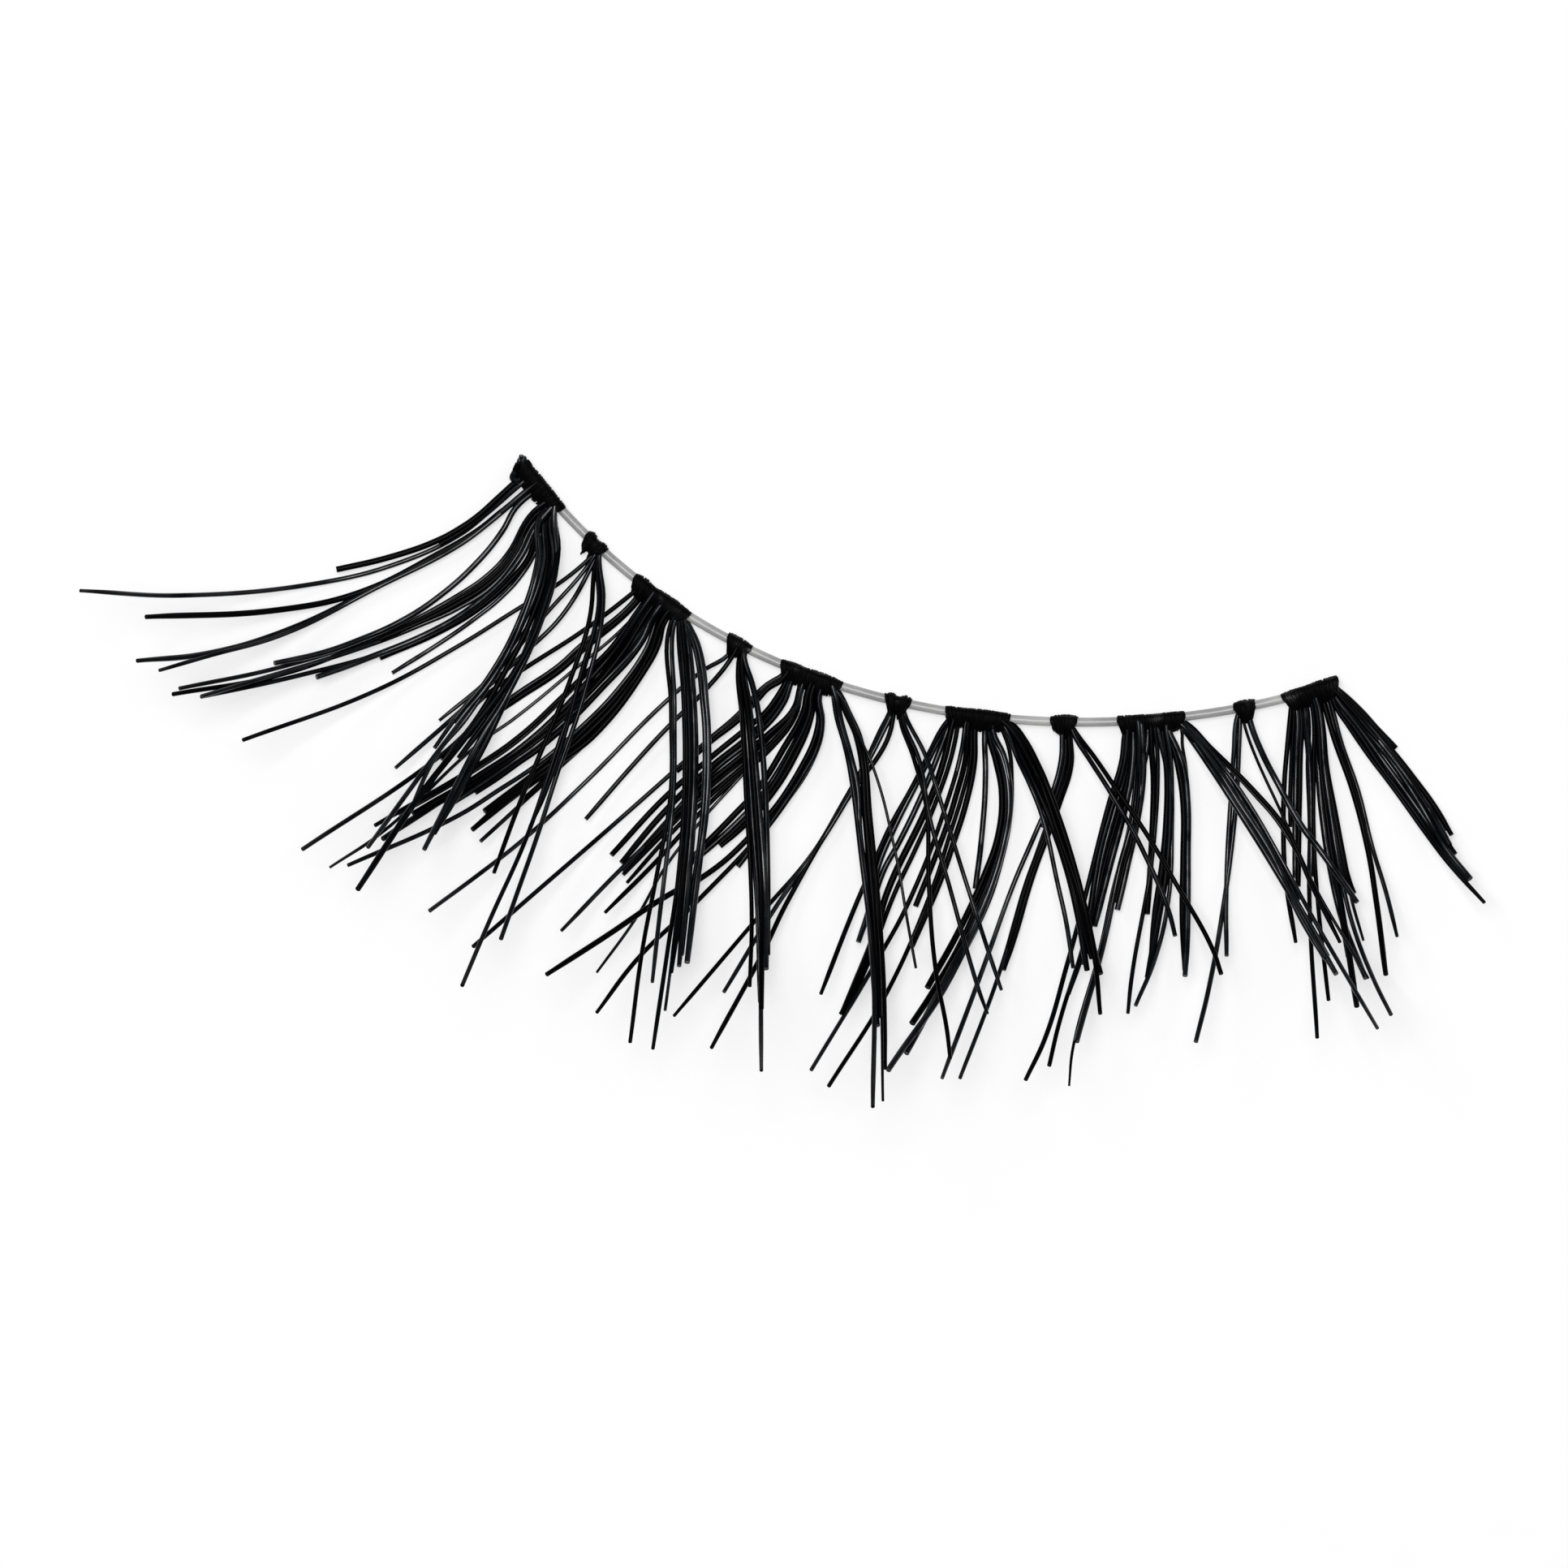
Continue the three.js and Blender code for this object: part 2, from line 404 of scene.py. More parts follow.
@dataclass(frozen=True)
class BandLine:
    """The line that the clear thread follows: one smooth bend.

    Attributes:
        outer_end: Its end at the outer corner of the eye, in millimetres on the floor.
        outer_handle: The place that it heads for from there.
        inner_handle: The place that it comes from at its other end.
        inner_end: Its end at the inner corner of the eye.
        height: The height of the thread's middle, in millimetres.
        steps: The steps in which it is drawn.
    """

    outer_end: Flat = (-11.9, 7.6)
    outer_handle: Flat = (-4.0, -2.95)
    inner_handle: Flat = (10.1, -1.0)
    inner_end: Flat = (14.0, 0.7)
    height: float = 0.33
    steps: int = 160

    def point(self, share: float) -> Vector:
        """The place a share of the way along the bend, on the floor.

        Args:
            share: 0 at the outer end and 1 at the inner end.

        Returns:
            The place, in metres.
        """
        rest = 1.0 - share
        weights = (rest**3, 3 * rest**2 * share, 3 * rest * share**2, share**3)
        corners = (self.outer_end, self.outer_handle, self.inner_handle, self.inner_end)
        x = sum(weight * corner[0] for weight, corner in zip(weights, corners))
        y = sum(weight * corner[1] for weight, corner in zip(weights, corners))
        return Vector((x * MM, y * MM, 0.0))

    def points(self) -> list[Vector]:
        """Places along the whole bend, on the floor."""
        return [self.point(step / self.steps) for step in range(self.steps + 1)]

    def heading(self, place: Vector) -> Vector:
        """The heading of the bend, towards the inner corner, where it passes nearest to a place.

        Args:
            place: A place on the floor.

        Returns:
            The unit heading.
        """
        points = self.points()
        index = min(range(len(points)), key=lambda i: (points[i] - place).length)
        before, after = points[max(index - 1, 0)], points[min(index + 1, self.steps)]
        return (after - before).normalized()


@dataclass(frozen=True)
class Curl:
    """The surface that the fibres lie on: flat near the thread, then rising on an arc.

    Attributes:
        outer_start: Where the rise starts at the outer end, in millimetres from the thread.
        inner_start: Where it starts at the inner end.
        radius: The arc's radius, in millimetres.
        climb: The length in which a fibre goes from its knot to its own layer, in millimetres.
    """

    outer_start: float = 6.4
    inner_start: float = 4.0
    radius: float = 6.5
    climb: float = 3.0


class Layer(Enum):
    """The height, in millimetres, at which a lock's lowest fibres lie."""

    UNDER = 0.0
    OVER = 0.72


class Gauge(Enum):
    """The radius of a fibre, in millimetres."""

    FINE = 0.052
    MEDIUM = 0.076
    THICK = 0.102


@dataclass(frozen=True)
class Strand:
    """One charted fibre, or a few that lie close along the same path.

    Attributes:
        path: Pixels of the photograph from the root to the tip.
        gauge: The fibre's thickness.
        copies: How many fibres follow the path.
    """

    path: tuple[Pixel, ...]
    gauge: Gauge
    copies: int = 1


def fibre(*path: Pixel, copies: int = 1) -> Strand:
    """A fibre of the usual thickness."""
    return Strand(path, Gauge.MEDIUM, copies)


def thick(*path: Pixel, copies: int = 1) -> Strand:
    """A thick fibre."""
    return Strand(path, Gauge.THICK, copies)


def fine(*path: Pixel) -> Strand:
    """A fine fibre."""
    return Strand(path, Gauge.FINE)


@dataclass(frozen=True)
class LockChart:
    """The fibres of one lock, as the photograph shows them.

    Attributes:
        node: The solid that the fibres stand for.
        layer: Whether the lock lies under or over the locks that it crosses.
        strands: The fibres, and any cut ends that stand out past the knot.
    """

    node: str
    layer: Layer
    strands: tuple[Strand, ...]

    @property
    def knot(self) -> str:
        """The knot that holds the lock."""
        return f"knot_{self.node.split('_')[1]}"


LOCKS = (
    LockChart("lock_01_sweep", Layer.UNDER, (
        thick((219, 815), (210, 823.2), (200, 832.2), (190, 839.2), (180, 844.7), (160, 852), (128, 859.6)),
        fibre((220, 817.5), (205, 830.4), (190, 842), (160, 856), (120, 866.3), (50, 873), (1, 871)),
        thick((219, 816), (205, 829.5), (194, 838.5), (180, 847)),
        thick((222, 822), (210, 831.6), (200, 839.6), (180, 851.5), (140, 871), (100, 880), (33, 884)),
        thick((221.5, 822), (205, 836), (190, 847), (150, 867.5), (100, 891.5), (62, 902.5), (29, 906)),
        fibre((222, 822), (205, 836.2), (190, 847.3), (150, 868), (100, 893), (64, 903.5), (40, 911)),
    )),
    LockChart("lock_01_outer", Layer.UNDER, (
        thick((219, 828), (212, 840), (200, 855), (180, 873), (160, 886), (140, 895), (120, 902), (97, 907)),
        fibre((226, 832), (215, 851), (206, 861), (190, 872.2), (150, 892.5), (100, 909), (50, 920)),
        fibre(
            (227, 834), (217, 852), (206, 864), (190, 874.5),
            (170, 885), (150, 894), (100, 913), (47, 923),
        ),
        thick((227, 835), (218, 853), (207, 865.5), (190, 876.5), (170, 886.5), (150, 895)),
        fibre((228, 836), (219, 853), (208, 867), (190, 879), (170, 888), (150, 896), (61, 924)),
        fibre((229, 838), (212, 865.5), (200, 876.5), (180, 889.3), (150, 902), (110, 913), (61, 924)),
        thick((229, 838), (222, 852), (212, 865), (200, 876), (180, 889), (140, 906), (118, 914)),
        thick((230, 840), (225, 854), (215, 866), (200, 879), (180, 891), (150, 904)),
        fibre((230, 848), (222, 862), (210, 875), (200, 883), (180, 897), (156, 912)),
    )),
    LockChart("lock_01_drop", Layer.OVER, (
        thick((238, 832), (240, 850), (234, 876), (222, 905), (193, 945), (172, 972), (140, 1021)),
        fibre((236, 832), (237, 852), (228, 882), (212, 908), (196, 930), (175, 958), (145, 1000)),
        thick((238, 832), (239.5, 855), (232, 884), (213, 926), (202, 944), (180, 987), (173, 1001)),
        thick((237, 832), (238, 858), (228, 890), (218, 915), (208, 938), (198, 958), (178, 993)),
        thick((235, 832), (235, 856), (226, 886), (213, 912), (200, 934), (188, 950), (176, 968)),
        thick((236.5, 832), (237.5, 856), (230, 886), (219, 912), (207, 932), (190, 955)),
        fibre((234, 832), (233, 856), (224, 884), (194, 935), (180, 952), (165, 983), copies=2),
        fibre((231, 832), (229.5, 856), (220, 886), (205, 914), (190, 933), (178, 950), copies=2),
        thick((226, 808.5), (224, 804.5)),
        thick((223.5, 806), (222.3, 802.5)),
        thick((222, 806), (221.7, 802)),
        thick((220.5, 808), (221, 803.5)),
        thick((219, 811), (220, 806)),
        thick((217.5, 814), (218.5, 809.5)),
        fibre((221.5, 804), (221.5, 801.5)),
    )),
    LockChart("lock_02_outer", Layer.UNDER, (
        fibre((255, 855), (237, 869), (222, 878), (190, 898), (150, 920), (82, 946)),
        fibre((255, 858), (236, 880), (205, 915), (180, 936)),
        fibre((257, 858), (242, 883), (225, 900), (191, 931), (158, 960)),
    )),
    LockChart("lock_02_drop", Layer.OVER, (
        fibre((259, 856), (256, 885), (247, 914), (235, 944), (222, 975), (208, 1013)),
        fibre((260, 856), (262, 872), (257, 897), (238, 955), (224, 996), (206, 1037), (193, 1069)),
        fibre((261, 856), (263, 875), (254, 920), (240, 962), (230, 994), (219, 1026), (212, 1046)),
        fibre((260, 856), (260.5, 880), (252, 912), (243, 945), (234, 972), (226, 990)),
    )),
    LockChart("lock_03_outer", Layer.UNDER, (
        fibre((276, 873), (252, 891), (218, 913), (205, 922), (193, 933)),
        fibre((277.5, 876.5), (251, 898.5), (240, 908.5), (220, 922), (202, 935), (180, 954.5), (112, 1001)),
        thick((278.5, 877.5), (252, 900.5), (240, 911.3), (220, 924.5), (202, 937), (181, 955.5)),
        fine((278, 884), (246, 912), (218, 935), (201, 947), (151, 993), (126, 1010)),
        fibre(
            (280, 881), (267, 899), (255, 911), (241, 925),
            (221, 943.6), (201, 957.8), (148, 989),
            copies=2,
        ),
        thick((281, 882), (269, 900), (257, 914), (243, 930), (222, 949.2), (201, 963.5), (152, 996)),
        thick((284, 882.5), (272, 901), (250, 926), (232, 942.2), (212, 956.5), (167, 983), copies=2),
        thick((289, 882), (272, 904), (252, 926), (236, 942), (220, 955)),
        thick(
            (287, 885), (282, 895.5), (262, 918), (230, 948),
            (218.5, 956.2), (210, 962.4), (188, 977),
            copies=2,
        ),
        thick(
            (293.5, 887), (291, 897), (285.2, 908.5), (258.8, 943),
            (241.5, 956.5), (229.8, 965), (213, 977.6),
        ),
        thick(
            (293, 887), (290, 898), (284, 909), (258, 943),
            (241, 957), (220, 972.3), (210, 980), (197, 991),
        ),
        thick((292.5, 887), (289, 899), (276, 920.5), (257, 943), (240, 959.8), (231, 968.8), (223, 976)),
        fibre((293, 887), (290, 898.5), (276.5, 921), (257.5, 944), (240.5, 960), (218.8, 980.6), (201, 997)),
        fibre(
            (290, 885.5), (285, 899), (270.5, 920), (251, 940),
            (229.8, 958), (210, 971.2), (190, 984), (135, 1009),
        ),
        thick((291, 886), (284.5, 902), (271, 922), (252.5, 941.5), (240, 953.5), (228, 963.2), (214, 973.8)),
        thick((292, 886.5), (286.5, 902), (274, 922), (255.5, 942), (240, 955), (220, 969.4), (203, 982)),
    )),
    LockChart("lock_03_drop", Layer.OVER, (
        fibre((297, 887), (297.3, 931), (297, 974), (290, 1015), (283, 1052), (277, 1098)),
        fibre((298.8, 887), (299.2, 930), (298.5, 974), (294, 1015), (291, 1040), (288, 1068)),
        fibre((301, 888), (303.5, 925), (304, 970), (301, 1015), (296, 1050), (288.5, 1101)),
        fine((302, 888), (305, 930), (306, 980), (301, 1030), (297, 1063), (294.5, 1082)),
        thick((303, 888), (305.5, 920), (306.5, 970), (303.5, 1015), (297.5, 1063), copies=2),
        thick((304, 888), (308, 920), (309, 965), (306, 1010), (301.5, 1060), copies=2),
        thick((306, 888), (311, 899), (315, 928), (316, 944), (315, 980), (312, 1004), (305.5, 1058)),
        fibre((305, 888), (309.5, 900), (313.5, 930), (314.5, 950), (313, 985), (307, 1030)),
    )),
    LockChart("lock_04_outer", Layer.UNDER, (
        fibre((327, 902), (313, 911), (296, 925), (254, 967), (224, 995), (200, 1014), (176, 1032)),
        fibre((328, 904), (316, 919), (296, 939), (274, 963), (254, 986)),
    )),
    LockChart("lock_04_drop", Layer.OVER, (
        fibre((331.5, 905), (333, 925), (335, 970), (337.5, 1013), (338, 1040), (337, 1070)),
        thick((334, 903), (338.5, 918), (341.5, 932), (344, 958), (346, 1013), (346, 1054)),
        thick((333, 905), (336, 930), (340, 980), (343, 1030), (343, 1081), copies=2),
        thick((332, 905), (333.5, 935), (336.5, 975), (340.5, 1020), (342.5, 1078)),
        fibre((332, 905), (334.5, 930), (338, 980), (342, 1040), (343, 1112)),
    )),
    LockChart("lock_05_outer", Layer.UNDER, (
        fibre((352, 914), (346, 917.5), (340, 923), (331, 933), (317, 945), (297, 963), (198, 1050)),
        thick((353, 915.5), (346, 920), (341, 925.5), (331, 936), (317, 947), (300, 962)),
        thick((355, 917), (351, 924), (345, 932), (338, 938), (317, 955), (296, 973), (267, 1004)),
        thick((356.5, 917.5), (352.5, 926), (340, 941), (317, 960), (297, 979), (272, 1008)),
        thick((357.5, 918), (354.5, 926.5), (342, 942), (317, 963), (298, 984), (273, 1012)),
        fibre((362.8, 918.5), (359.2, 930), (346, 944.5), (332, 957), (317, 969), (298, 988), (273, 1014)),
        thick((362.8, 918.5), (359.4, 930), (347, 942.5), (333, 954), (318, 966), (300, 983.5), (284, 1000)),
        fibre((363.3, 919), (360, 931), (346, 947.5), (331, 960), (298, 987), (276, 1007), (242, 1042)),
        fibre((363.6, 920), (360.4, 932), (347, 948.5), (332, 961), (317, 974), (300, 990), (275, 1018)),
        fibre((363, 922), (360.5, 933), (348, 950), (332, 964), (318, 976.5), (289, 1008), (264, 1033)),
        fine((362, 921), (359, 931), (345, 950), (310, 990), (294, 1011), (281, 1034), (260, 1063)),
        thick((366, 923), (364.5, 931), (355, 949), (341, 971), (330, 983), (307, 1006), copies=2),
        thick((367.5, 923), (366.5, 932), (357, 952), (343, 974), (332, 986.5), (308, 1008), copies=2),
        thick((369, 923), (368.5, 932), (360, 954), (345, 977), (334, 989), (322, 999.5)),
        thick(
            (371, 923.5), (372, 936), (363, 960), (334, 998),
            (312, 1016), (297, 1023.5), (262, 1046.5), (235, 1064),
        ),
        thick((372, 924), (373.5, 937), (371, 950), (365, 962), (356, 976), (346, 990)),
        thick((371.5, 924), (373, 938), (370, 951), (363, 964), (354, 978), (345, 991), (331, 1010)),
        fibre((372.5, 924), (374, 936), (371, 951), (350, 984), (311, 1027), (280, 1057), (260, 1083)),
    )),
    LockChart("lock_05_drop", Layer.OVER, (
        fibre((379.5, 924), (381, 934), (385, 948), (388, 962), (393.5, 1005), (399.5, 1065), (399, 1130)),
        thick((380.5, 924), (383, 936), (388, 954), (391.5, 970), (392.5, 992), (396, 1020), (401.5, 1090)),
        thick((382, 922), (387, 932), (393, 946), (397.5, 985), (404, 1060), (405, 1111), copies=2),
        fine((382, 923), (391, 947), (396, 985), (398.5, 1025), (403, 1070), (404, 1127)),
        fine((383, 924), (392, 943), (400, 961), (410, 1000), (417, 1039), (421, 1061)),
    )),
    LockChart("lock_06_outer", Layer.UNDER, (
        fibre((408, 931), (403, 941), (396, 956), (384, 978), (369, 1003), (345, 1031), (299, 1085)),
        fibre((410, 932), (408, 942), (404, 951), (389, 972), (356, 1028), (344, 1053), (318, 1101)),
        fibre((409, 932), (404, 943), (398, 955), (387, 975), (371, 1001), (352, 1028), (324, 1073)),
    )),
    LockChart("lock_06_inner", Layer.OVER, (
        fibre((413, 932), (420, 955), (426, 978), (427.5, 1017), (431, 1062), (436.5, 1092), (438, 1106)),
        fibre((414, 932), (423, 957), (428, 985), (438, 1020), (452, 1070), (457, 1084)),
        fibre((415, 931), (426, 954), (432, 972), (438, 991), (447, 1020), (459, 1057), (464, 1072)),
    )),
    LockChart("lock_07_outer", Layer.UNDER, (
        fibre((435, 939), (428, 952), (419, 970), (408, 990), (400, 1008), (391, 1029), (373, 1074)),
        thick((436, 939), (430, 951), (421, 969), (410, 991), (402, 1010), (397, 1033), (392, 1048)),
        thick((437.5, 940), (432.5, 953), (424, 974), (413, 997), (404, 1014), (397, 1040)),
        thick((439, 940), (435.5, 955), (428, 977), (407, 1022), (400, 1045), (384, 1084), copies=2),
        fibre((442.3, 938.5), (438.4, 957), (431, 978), (421, 1001), (410, 1024), (394, 1065), (383, 1084)),
        fibre((446, 938.5), (444.2, 951), (437.2, 976), (417, 1029), (404, 1053), (368, 1112), copies=2),
        thick((447.4, 939), (446.4, 954), (441.8, 973), (434, 997), (421, 1030)),
        fibre((449, 940), (448.8, 955), (444.8, 973), (438, 995), (430, 1020), (405, 1076), (377, 1120)),
        thick((451, 940.5), (450.6, 957), (447, 976), (440.5, 997), (433, 1018), (419, 1050)),
        thick((456, 941), (456.3, 963), (455, 990), (451, 1021)),
    )),
    LockChart("lock_07_curve", Layer.UNDER, (
        thick((458, 942), (461.5, 956), (464.5, 972), (463, 993), (456, 1014), (444, 1040), (427, 1071)),
        thick((459, 942), (463.5, 956), (466.3, 972), (465, 993), (448, 1040), (429, 1074), (419, 1089)),
        thick((459.5, 942), (465, 956), (468, 972), (466.5, 993), (450, 1041), (437, 1065), (416, 1104)),
        fibre((464.7, 940), (468.3, 950.5), (469.6, 965), (469, 985), (465, 1005), (456, 1032), (421, 1095)),
        thick((460, 941), (465.5, 954), (468.4, 970), (467.5, 989), (441, 1061), (407, 1112)),
    )),
    LockChart("lock_07_inner", Layer.OVER, (
        fibre((467, 941), (472, 954), (478.6, 968), (484.5, 983), (493, 1020), (497.4, 1040), (500.5, 1061)),
        thick((468, 940), (474, 953), (482, 970), (490, 989), (497, 1010), (503, 1035), (507.5, 1062)),
        thick((468, 939), (478, 955), (485, 970), (500, 1012), (508, 1042), (514, 1064), copies=2),
        thick(
            (469.5, 938), (476, 946), (482.2, 957.5), (487.3, 969),
            (501, 1010), (508, 1038), (512.5, 1060),
        ),
        fibre((469, 939), (480, 957), (486, 972), (493, 993), (503, 1022), (511, 1055), (514, 1084)),
    )),
    LockChart("lock_08_outer", Layer.UNDER, (
        thick((497, 944), (496.5, 957), (491.5, 975), (485, 990)),
        fibre((495, 944), (494.5, 956), (490, 973), (482, 992), (470, 1020), (458, 1053), (434, 1116)),
        thick((499, 944), (499.5, 958), (494, 977), (479, 1018), (471, 1045), (465.5, 1062), copies=2),
        fibre((498, 944), (498, 958), (491.5, 977), (476, 1022), (465, 1058), (457, 1081), (443, 1116)),
    )),
    LockChart("lock_08_inner", Layer.OVER, (
        fibre((502, 942), (511, 954), (520, 967), (538, 994), (552, 1018), (571, 1052), (575, 1064)),
        fibre((501, 943), (509, 956), (519, 972), (537, 1004), (549, 1033), (552, 1045)),
    )),
    LockChart("lock_09_outer", Layer.UNDER, (
        fibre((527, 941), (525, 957), (519, 977), (504, 1035), (497, 1060), (486, 1096), (476, 1117)),
        thick((528, 942), (526.5, 957), (521, 977), (514, 1003), (509, 1033), (506, 1050), (498, 1074)),
        thick((529, 942), (528, 957), (523, 977), (516, 1003), (510, 1035), (504.5, 1059)),
        fibre((530, 943), (529, 960), (524.5, 980), (517, 1007), (509.5, 1038), (493, 1090), (488, 1110)),
        thick((531, 943), (530.5, 960), (526.5, 982), (519, 1010), (511.5, 1040)),
        thick((534, 944), (533.5, 962), (531, 985), (524, 1012), (517, 1045), (502, 1098)),
        fine((533, 944), (532, 965), (529, 988), (521, 1020), (514, 1052), (500, 1102), (498, 1120)),
        thick((535.5, 943), (536, 965), (533, 987), (528, 1010), (523, 1032)),
        thick((538.5, 940), (538.2, 948), (536.2, 960), (534.5, 975), (531.5, 992)),
        fibre((534.5, 943), (534.5, 965), (531.5, 990), (526, 1012), (522, 1028)),
    )),
    LockChart("lock_09_middle", Layer.UNDER, (
        thick((540, 941), (540.3, 950), (541.3, 965), (541, 985), (540, 1007), (538, 1034)),
        fibre((542, 941), (543.2, 951), (543.4, 965), (542.5, 985), (540, 1010), (530, 1067), (528, 1084)),
        fibre((543.7, 941), (545.3, 949), (547.4, 958), (548.2, 968), (547.6, 990)),
        thick((546, 943), (547.6, 955), (548.4, 968), (548, 985), (546, 1007), (542, 1035), (540, 1058)),
        thick((547.5, 943), (549.2, 955), (549.8, 970), (549.8, 985), (548, 1010), (544, 1035), (538, 1066)),
        fibre((548, 942), (550, 955), (550.7, 970), (550.7, 990), (549, 1025), (542, 1056), (532, 1080)),
    )),
    LockChart("lock_09_straight", Layer.UNDER, (
        thick((549, 941), (553, 950), (556.4, 960), (558.3, 975), (558.6, 1005), (558.5, 1035), (557, 1065)),
        thick(
            (547.5, 941), (551.3, 950), (554.3, 962), (556.3, 978),
            (556.5, 1005), (556, 1035), (557, 1062),
        ),
        fibre((548, 941), (552.5, 952), (555.8, 966), (557.5, 985), (557.5, 1010), (556.5, 1045)),
        fine((555, 939), (556, 949), (557.8, 960), (558.6, 975), (558.8, 990)),
    )),
    LockChart("lock_09_inner", Layer.OVER, (
        thick((556, 939.5), (561.5, 947), (571.5, 962), (580, 975.5), (600, 1007), (633, 1064), copies=2),
        thick(
            (556.5, 939), (563.2, 946.5), (573.4, 960.5), (582, 974),
            (602, 1006), (612, 1029), (627, 1056),
        ),
        thick((556.5, 938.5), (564.7, 946.2), (575.3, 960), (584, 973.5), (603, 1005), (614, 1027)),
        fibre((557, 938), (566, 946.6), (577, 960.4), (586.6, 974), (606, 1007), (620, 1033), (653, 1091)),
        fibre((557.5, 937), (570, 949.4), (594, 973.6), (604, 985.2), (611, 996), (620, 1017), (635, 1048)),
        fine((557, 938), (569, 950), (579.5, 960), (592, 973.5), (604, 987.5), (628, 1030), (649, 1066)),
    )),
    LockChart("lock_10_outer", Layer.UNDER, (
        fibre((583, 937), (582, 951), (580, 983), (578, 1028), (578, 1055)),
        fibre((585, 937), (584.5, 951), (583, 979), (577, 1028), (569, 1071), (562, 1098)),
    )),
    LockChart("lock_10_inner", Layer.OVER, (
        fine((587, 937), (592, 952), (606, 983), (618, 1010), (635, 1048)),
        thick((590, 936), (596, 952), (603.5, 967), (616, 989.5), (624, 1000), (644, 1028)),
    )),
    LockChart("lock_11_outer", Layer.UNDER, (
        fibre((611, 929), (609, 950), (607.5, 968), (607, 990), (608, 1015), (613, 1048)),
        fibre((612.3, 929), (611.4, 950), (610.6, 970), (610.5, 990)),
        thick((613.5, 929), (613.5, 955), (613, 985), (613, 1016)),
        thick((615.5, 929), (615.5, 955), (615, 985), (614.5, 1020)),
    )),
    LockChart("lock_11_middle", Layer.UNDER, (
        fibre((619, 929), (619.5, 961), (620.5, 990), (620, 1022), (623, 1096)),
        thick((617.8, 930), (618.3, 938), (619.8, 950), (621, 970), (621.3, 990), (621, 1015)),
        fibre((621.5, 929), (622.3, 960), (622.3, 990), (625, 1034), (629, 1077)),
        thick((623, 930), (624.6, 958), (627, 985), (631, 1012), (637, 1038), (648, 1066)),
        thick((623.5, 930), (626, 958), (629.5, 985), (633, 1010), (636.5, 1032), (643, 1080), copies=2),
        thick((624.5, 930), (628, 962), (632, 985), (635.6, 1005), (638, 1016), (643, 1028), copies=2),
        fine((626, 930), (628.8, 955), (632.8, 980), (636.8, 1002), (641, 1025), (647, 1047)),
        fibre((625, 930), (627.5, 958), (631, 985), (636, 1015), (642, 1040), (652, 1067), (660, 1084)),
    )),
    LockChart("lock_11_inner", Layer.UNDER, (
        thick((628, 929), (633, 946), (642, 971), (649.5, 1000), (653.5, 1025), (658, 1064)),
        fibre((631.5, 929), (636, 946), (644.7, 971), (652, 1000), (658.5, 1022), (664, 1045)),
        fibre((630, 929), (634.7, 947), (643.5, 972), (650.5, 998)),
    )),
    LockChart("lock_11_corner", Layer.UNDER, (
        thick((635, 921), (645, 930), (655, 941), (664, 950)),
        thick((635, 922), (646, 933), (660, 949), (672, 964), (683, 979), (692, 994), copies=2),
        thick((635, 923), (647, 936), (660, 952), (674, 971), (686, 990), (691, 999)),
        thick((635, 924), (648, 940), (662, 957), (676, 978), (690, 1002), (701, 1016), copies=2),
        fibre((634, 927), (646, 943.5), (658, 961.5), (673, 982), (688, 1003), (700, 1017)),
        fibre((633.5, 929), (640, 939), (650, 953.5), (660, 966.5), (682, 997), (690, 1007.5), (708, 1028)),
        thick((634, 925), (645, 939), (658, 957), (673, 978), (688, 1000)),
        thick((635, 923), (648, 938), (662, 955), (677, 975), (688, 992)),
    )),
)


class KnotForm(Enum):
    """How far a knot narrows from the band to its fibres, as a share of its length."""

    WIDE = 0.18
    SMALL = 0.5


@dataclass(frozen=True)
class KnotChart:
    """One knot.

    Attributes:
        node: The solid that the knot stands for.
        form: Whether it holds many locks or a few.
        length: Its length along the band, in millimetres.
        swells: Its thickness at even steps from its outer to its inner end, as shares of the usual.
        hold: The share of its narrow side within which it holds its fibres.
    """

    node: str
    form: KnotForm
    length: float
    swells: tuple[float, ...]
    hold: float = 0.8

    def swell(self, share: float) -> float:
        """The thickness a share of the way along the knot.

        Args:
            share: 0 at the outer end and 1 at the inner end.

        Returns:
            The thickness, as a share of the usual.
        """
        place = share * (len(self.swells) - 1)
        step = min(int(place), len(self.swells) - 2)
        low, high = self.swells[step], self.swells[step + 1]
        return low + (high - low) * (place - step)


KNOTS = (
    KnotChart("knot_01", KnotForm.WIDE, 2.0, (0.8, 0.95, 0.95, 0.95, 0.9)),
    KnotChart("knot_02", KnotForm.SMALL, 0.9, (0.8, 1.12, 0.5, 1.0, 0.8)),
    KnotChart("knot_03", KnotForm.WIDE, 2.2, (0.9, 1.05, 0.7, 0.9, 0.95, 0.85, 0.75)),
    KnotChart("knot_04", KnotForm.SMALL, 0.88, (1.05, 1.0, 0.85, 0.6)),
    KnotChart("knot_05", KnotForm.WIDE, 2.1, (0.9, 0.95, 0.85, 0.95, 0.95, 0.8)),
    KnotChart("knot_06", KnotForm.SMALL, 0.9, (0.9, 1.15, 0.5, 1.15, 0.9)),
    KnotChart("knot_07", KnotForm.WIDE, 2.1, (0.95, 0.85, 0.95, 0.95, 0.9, 0.95)),
    KnotChart("knot_08", KnotForm.SMALL, 0.9, (0.75, 1.0, 1.05, 0.9)),
    KnotChart("knot_09", KnotForm.WIDE, 2.2, (1.05, 0.8, 0.75, 0.75, 0.85, 0.95)),
    KnotChart("knot_10", KnotForm.SMALL, 0.74, (0.95, 1.05, 0.95)),
    KnotChart("knot_11", KnotForm.WIDE, 1.9, (0.95, 0.95, 0.95, 1.0, 1.15)),
)


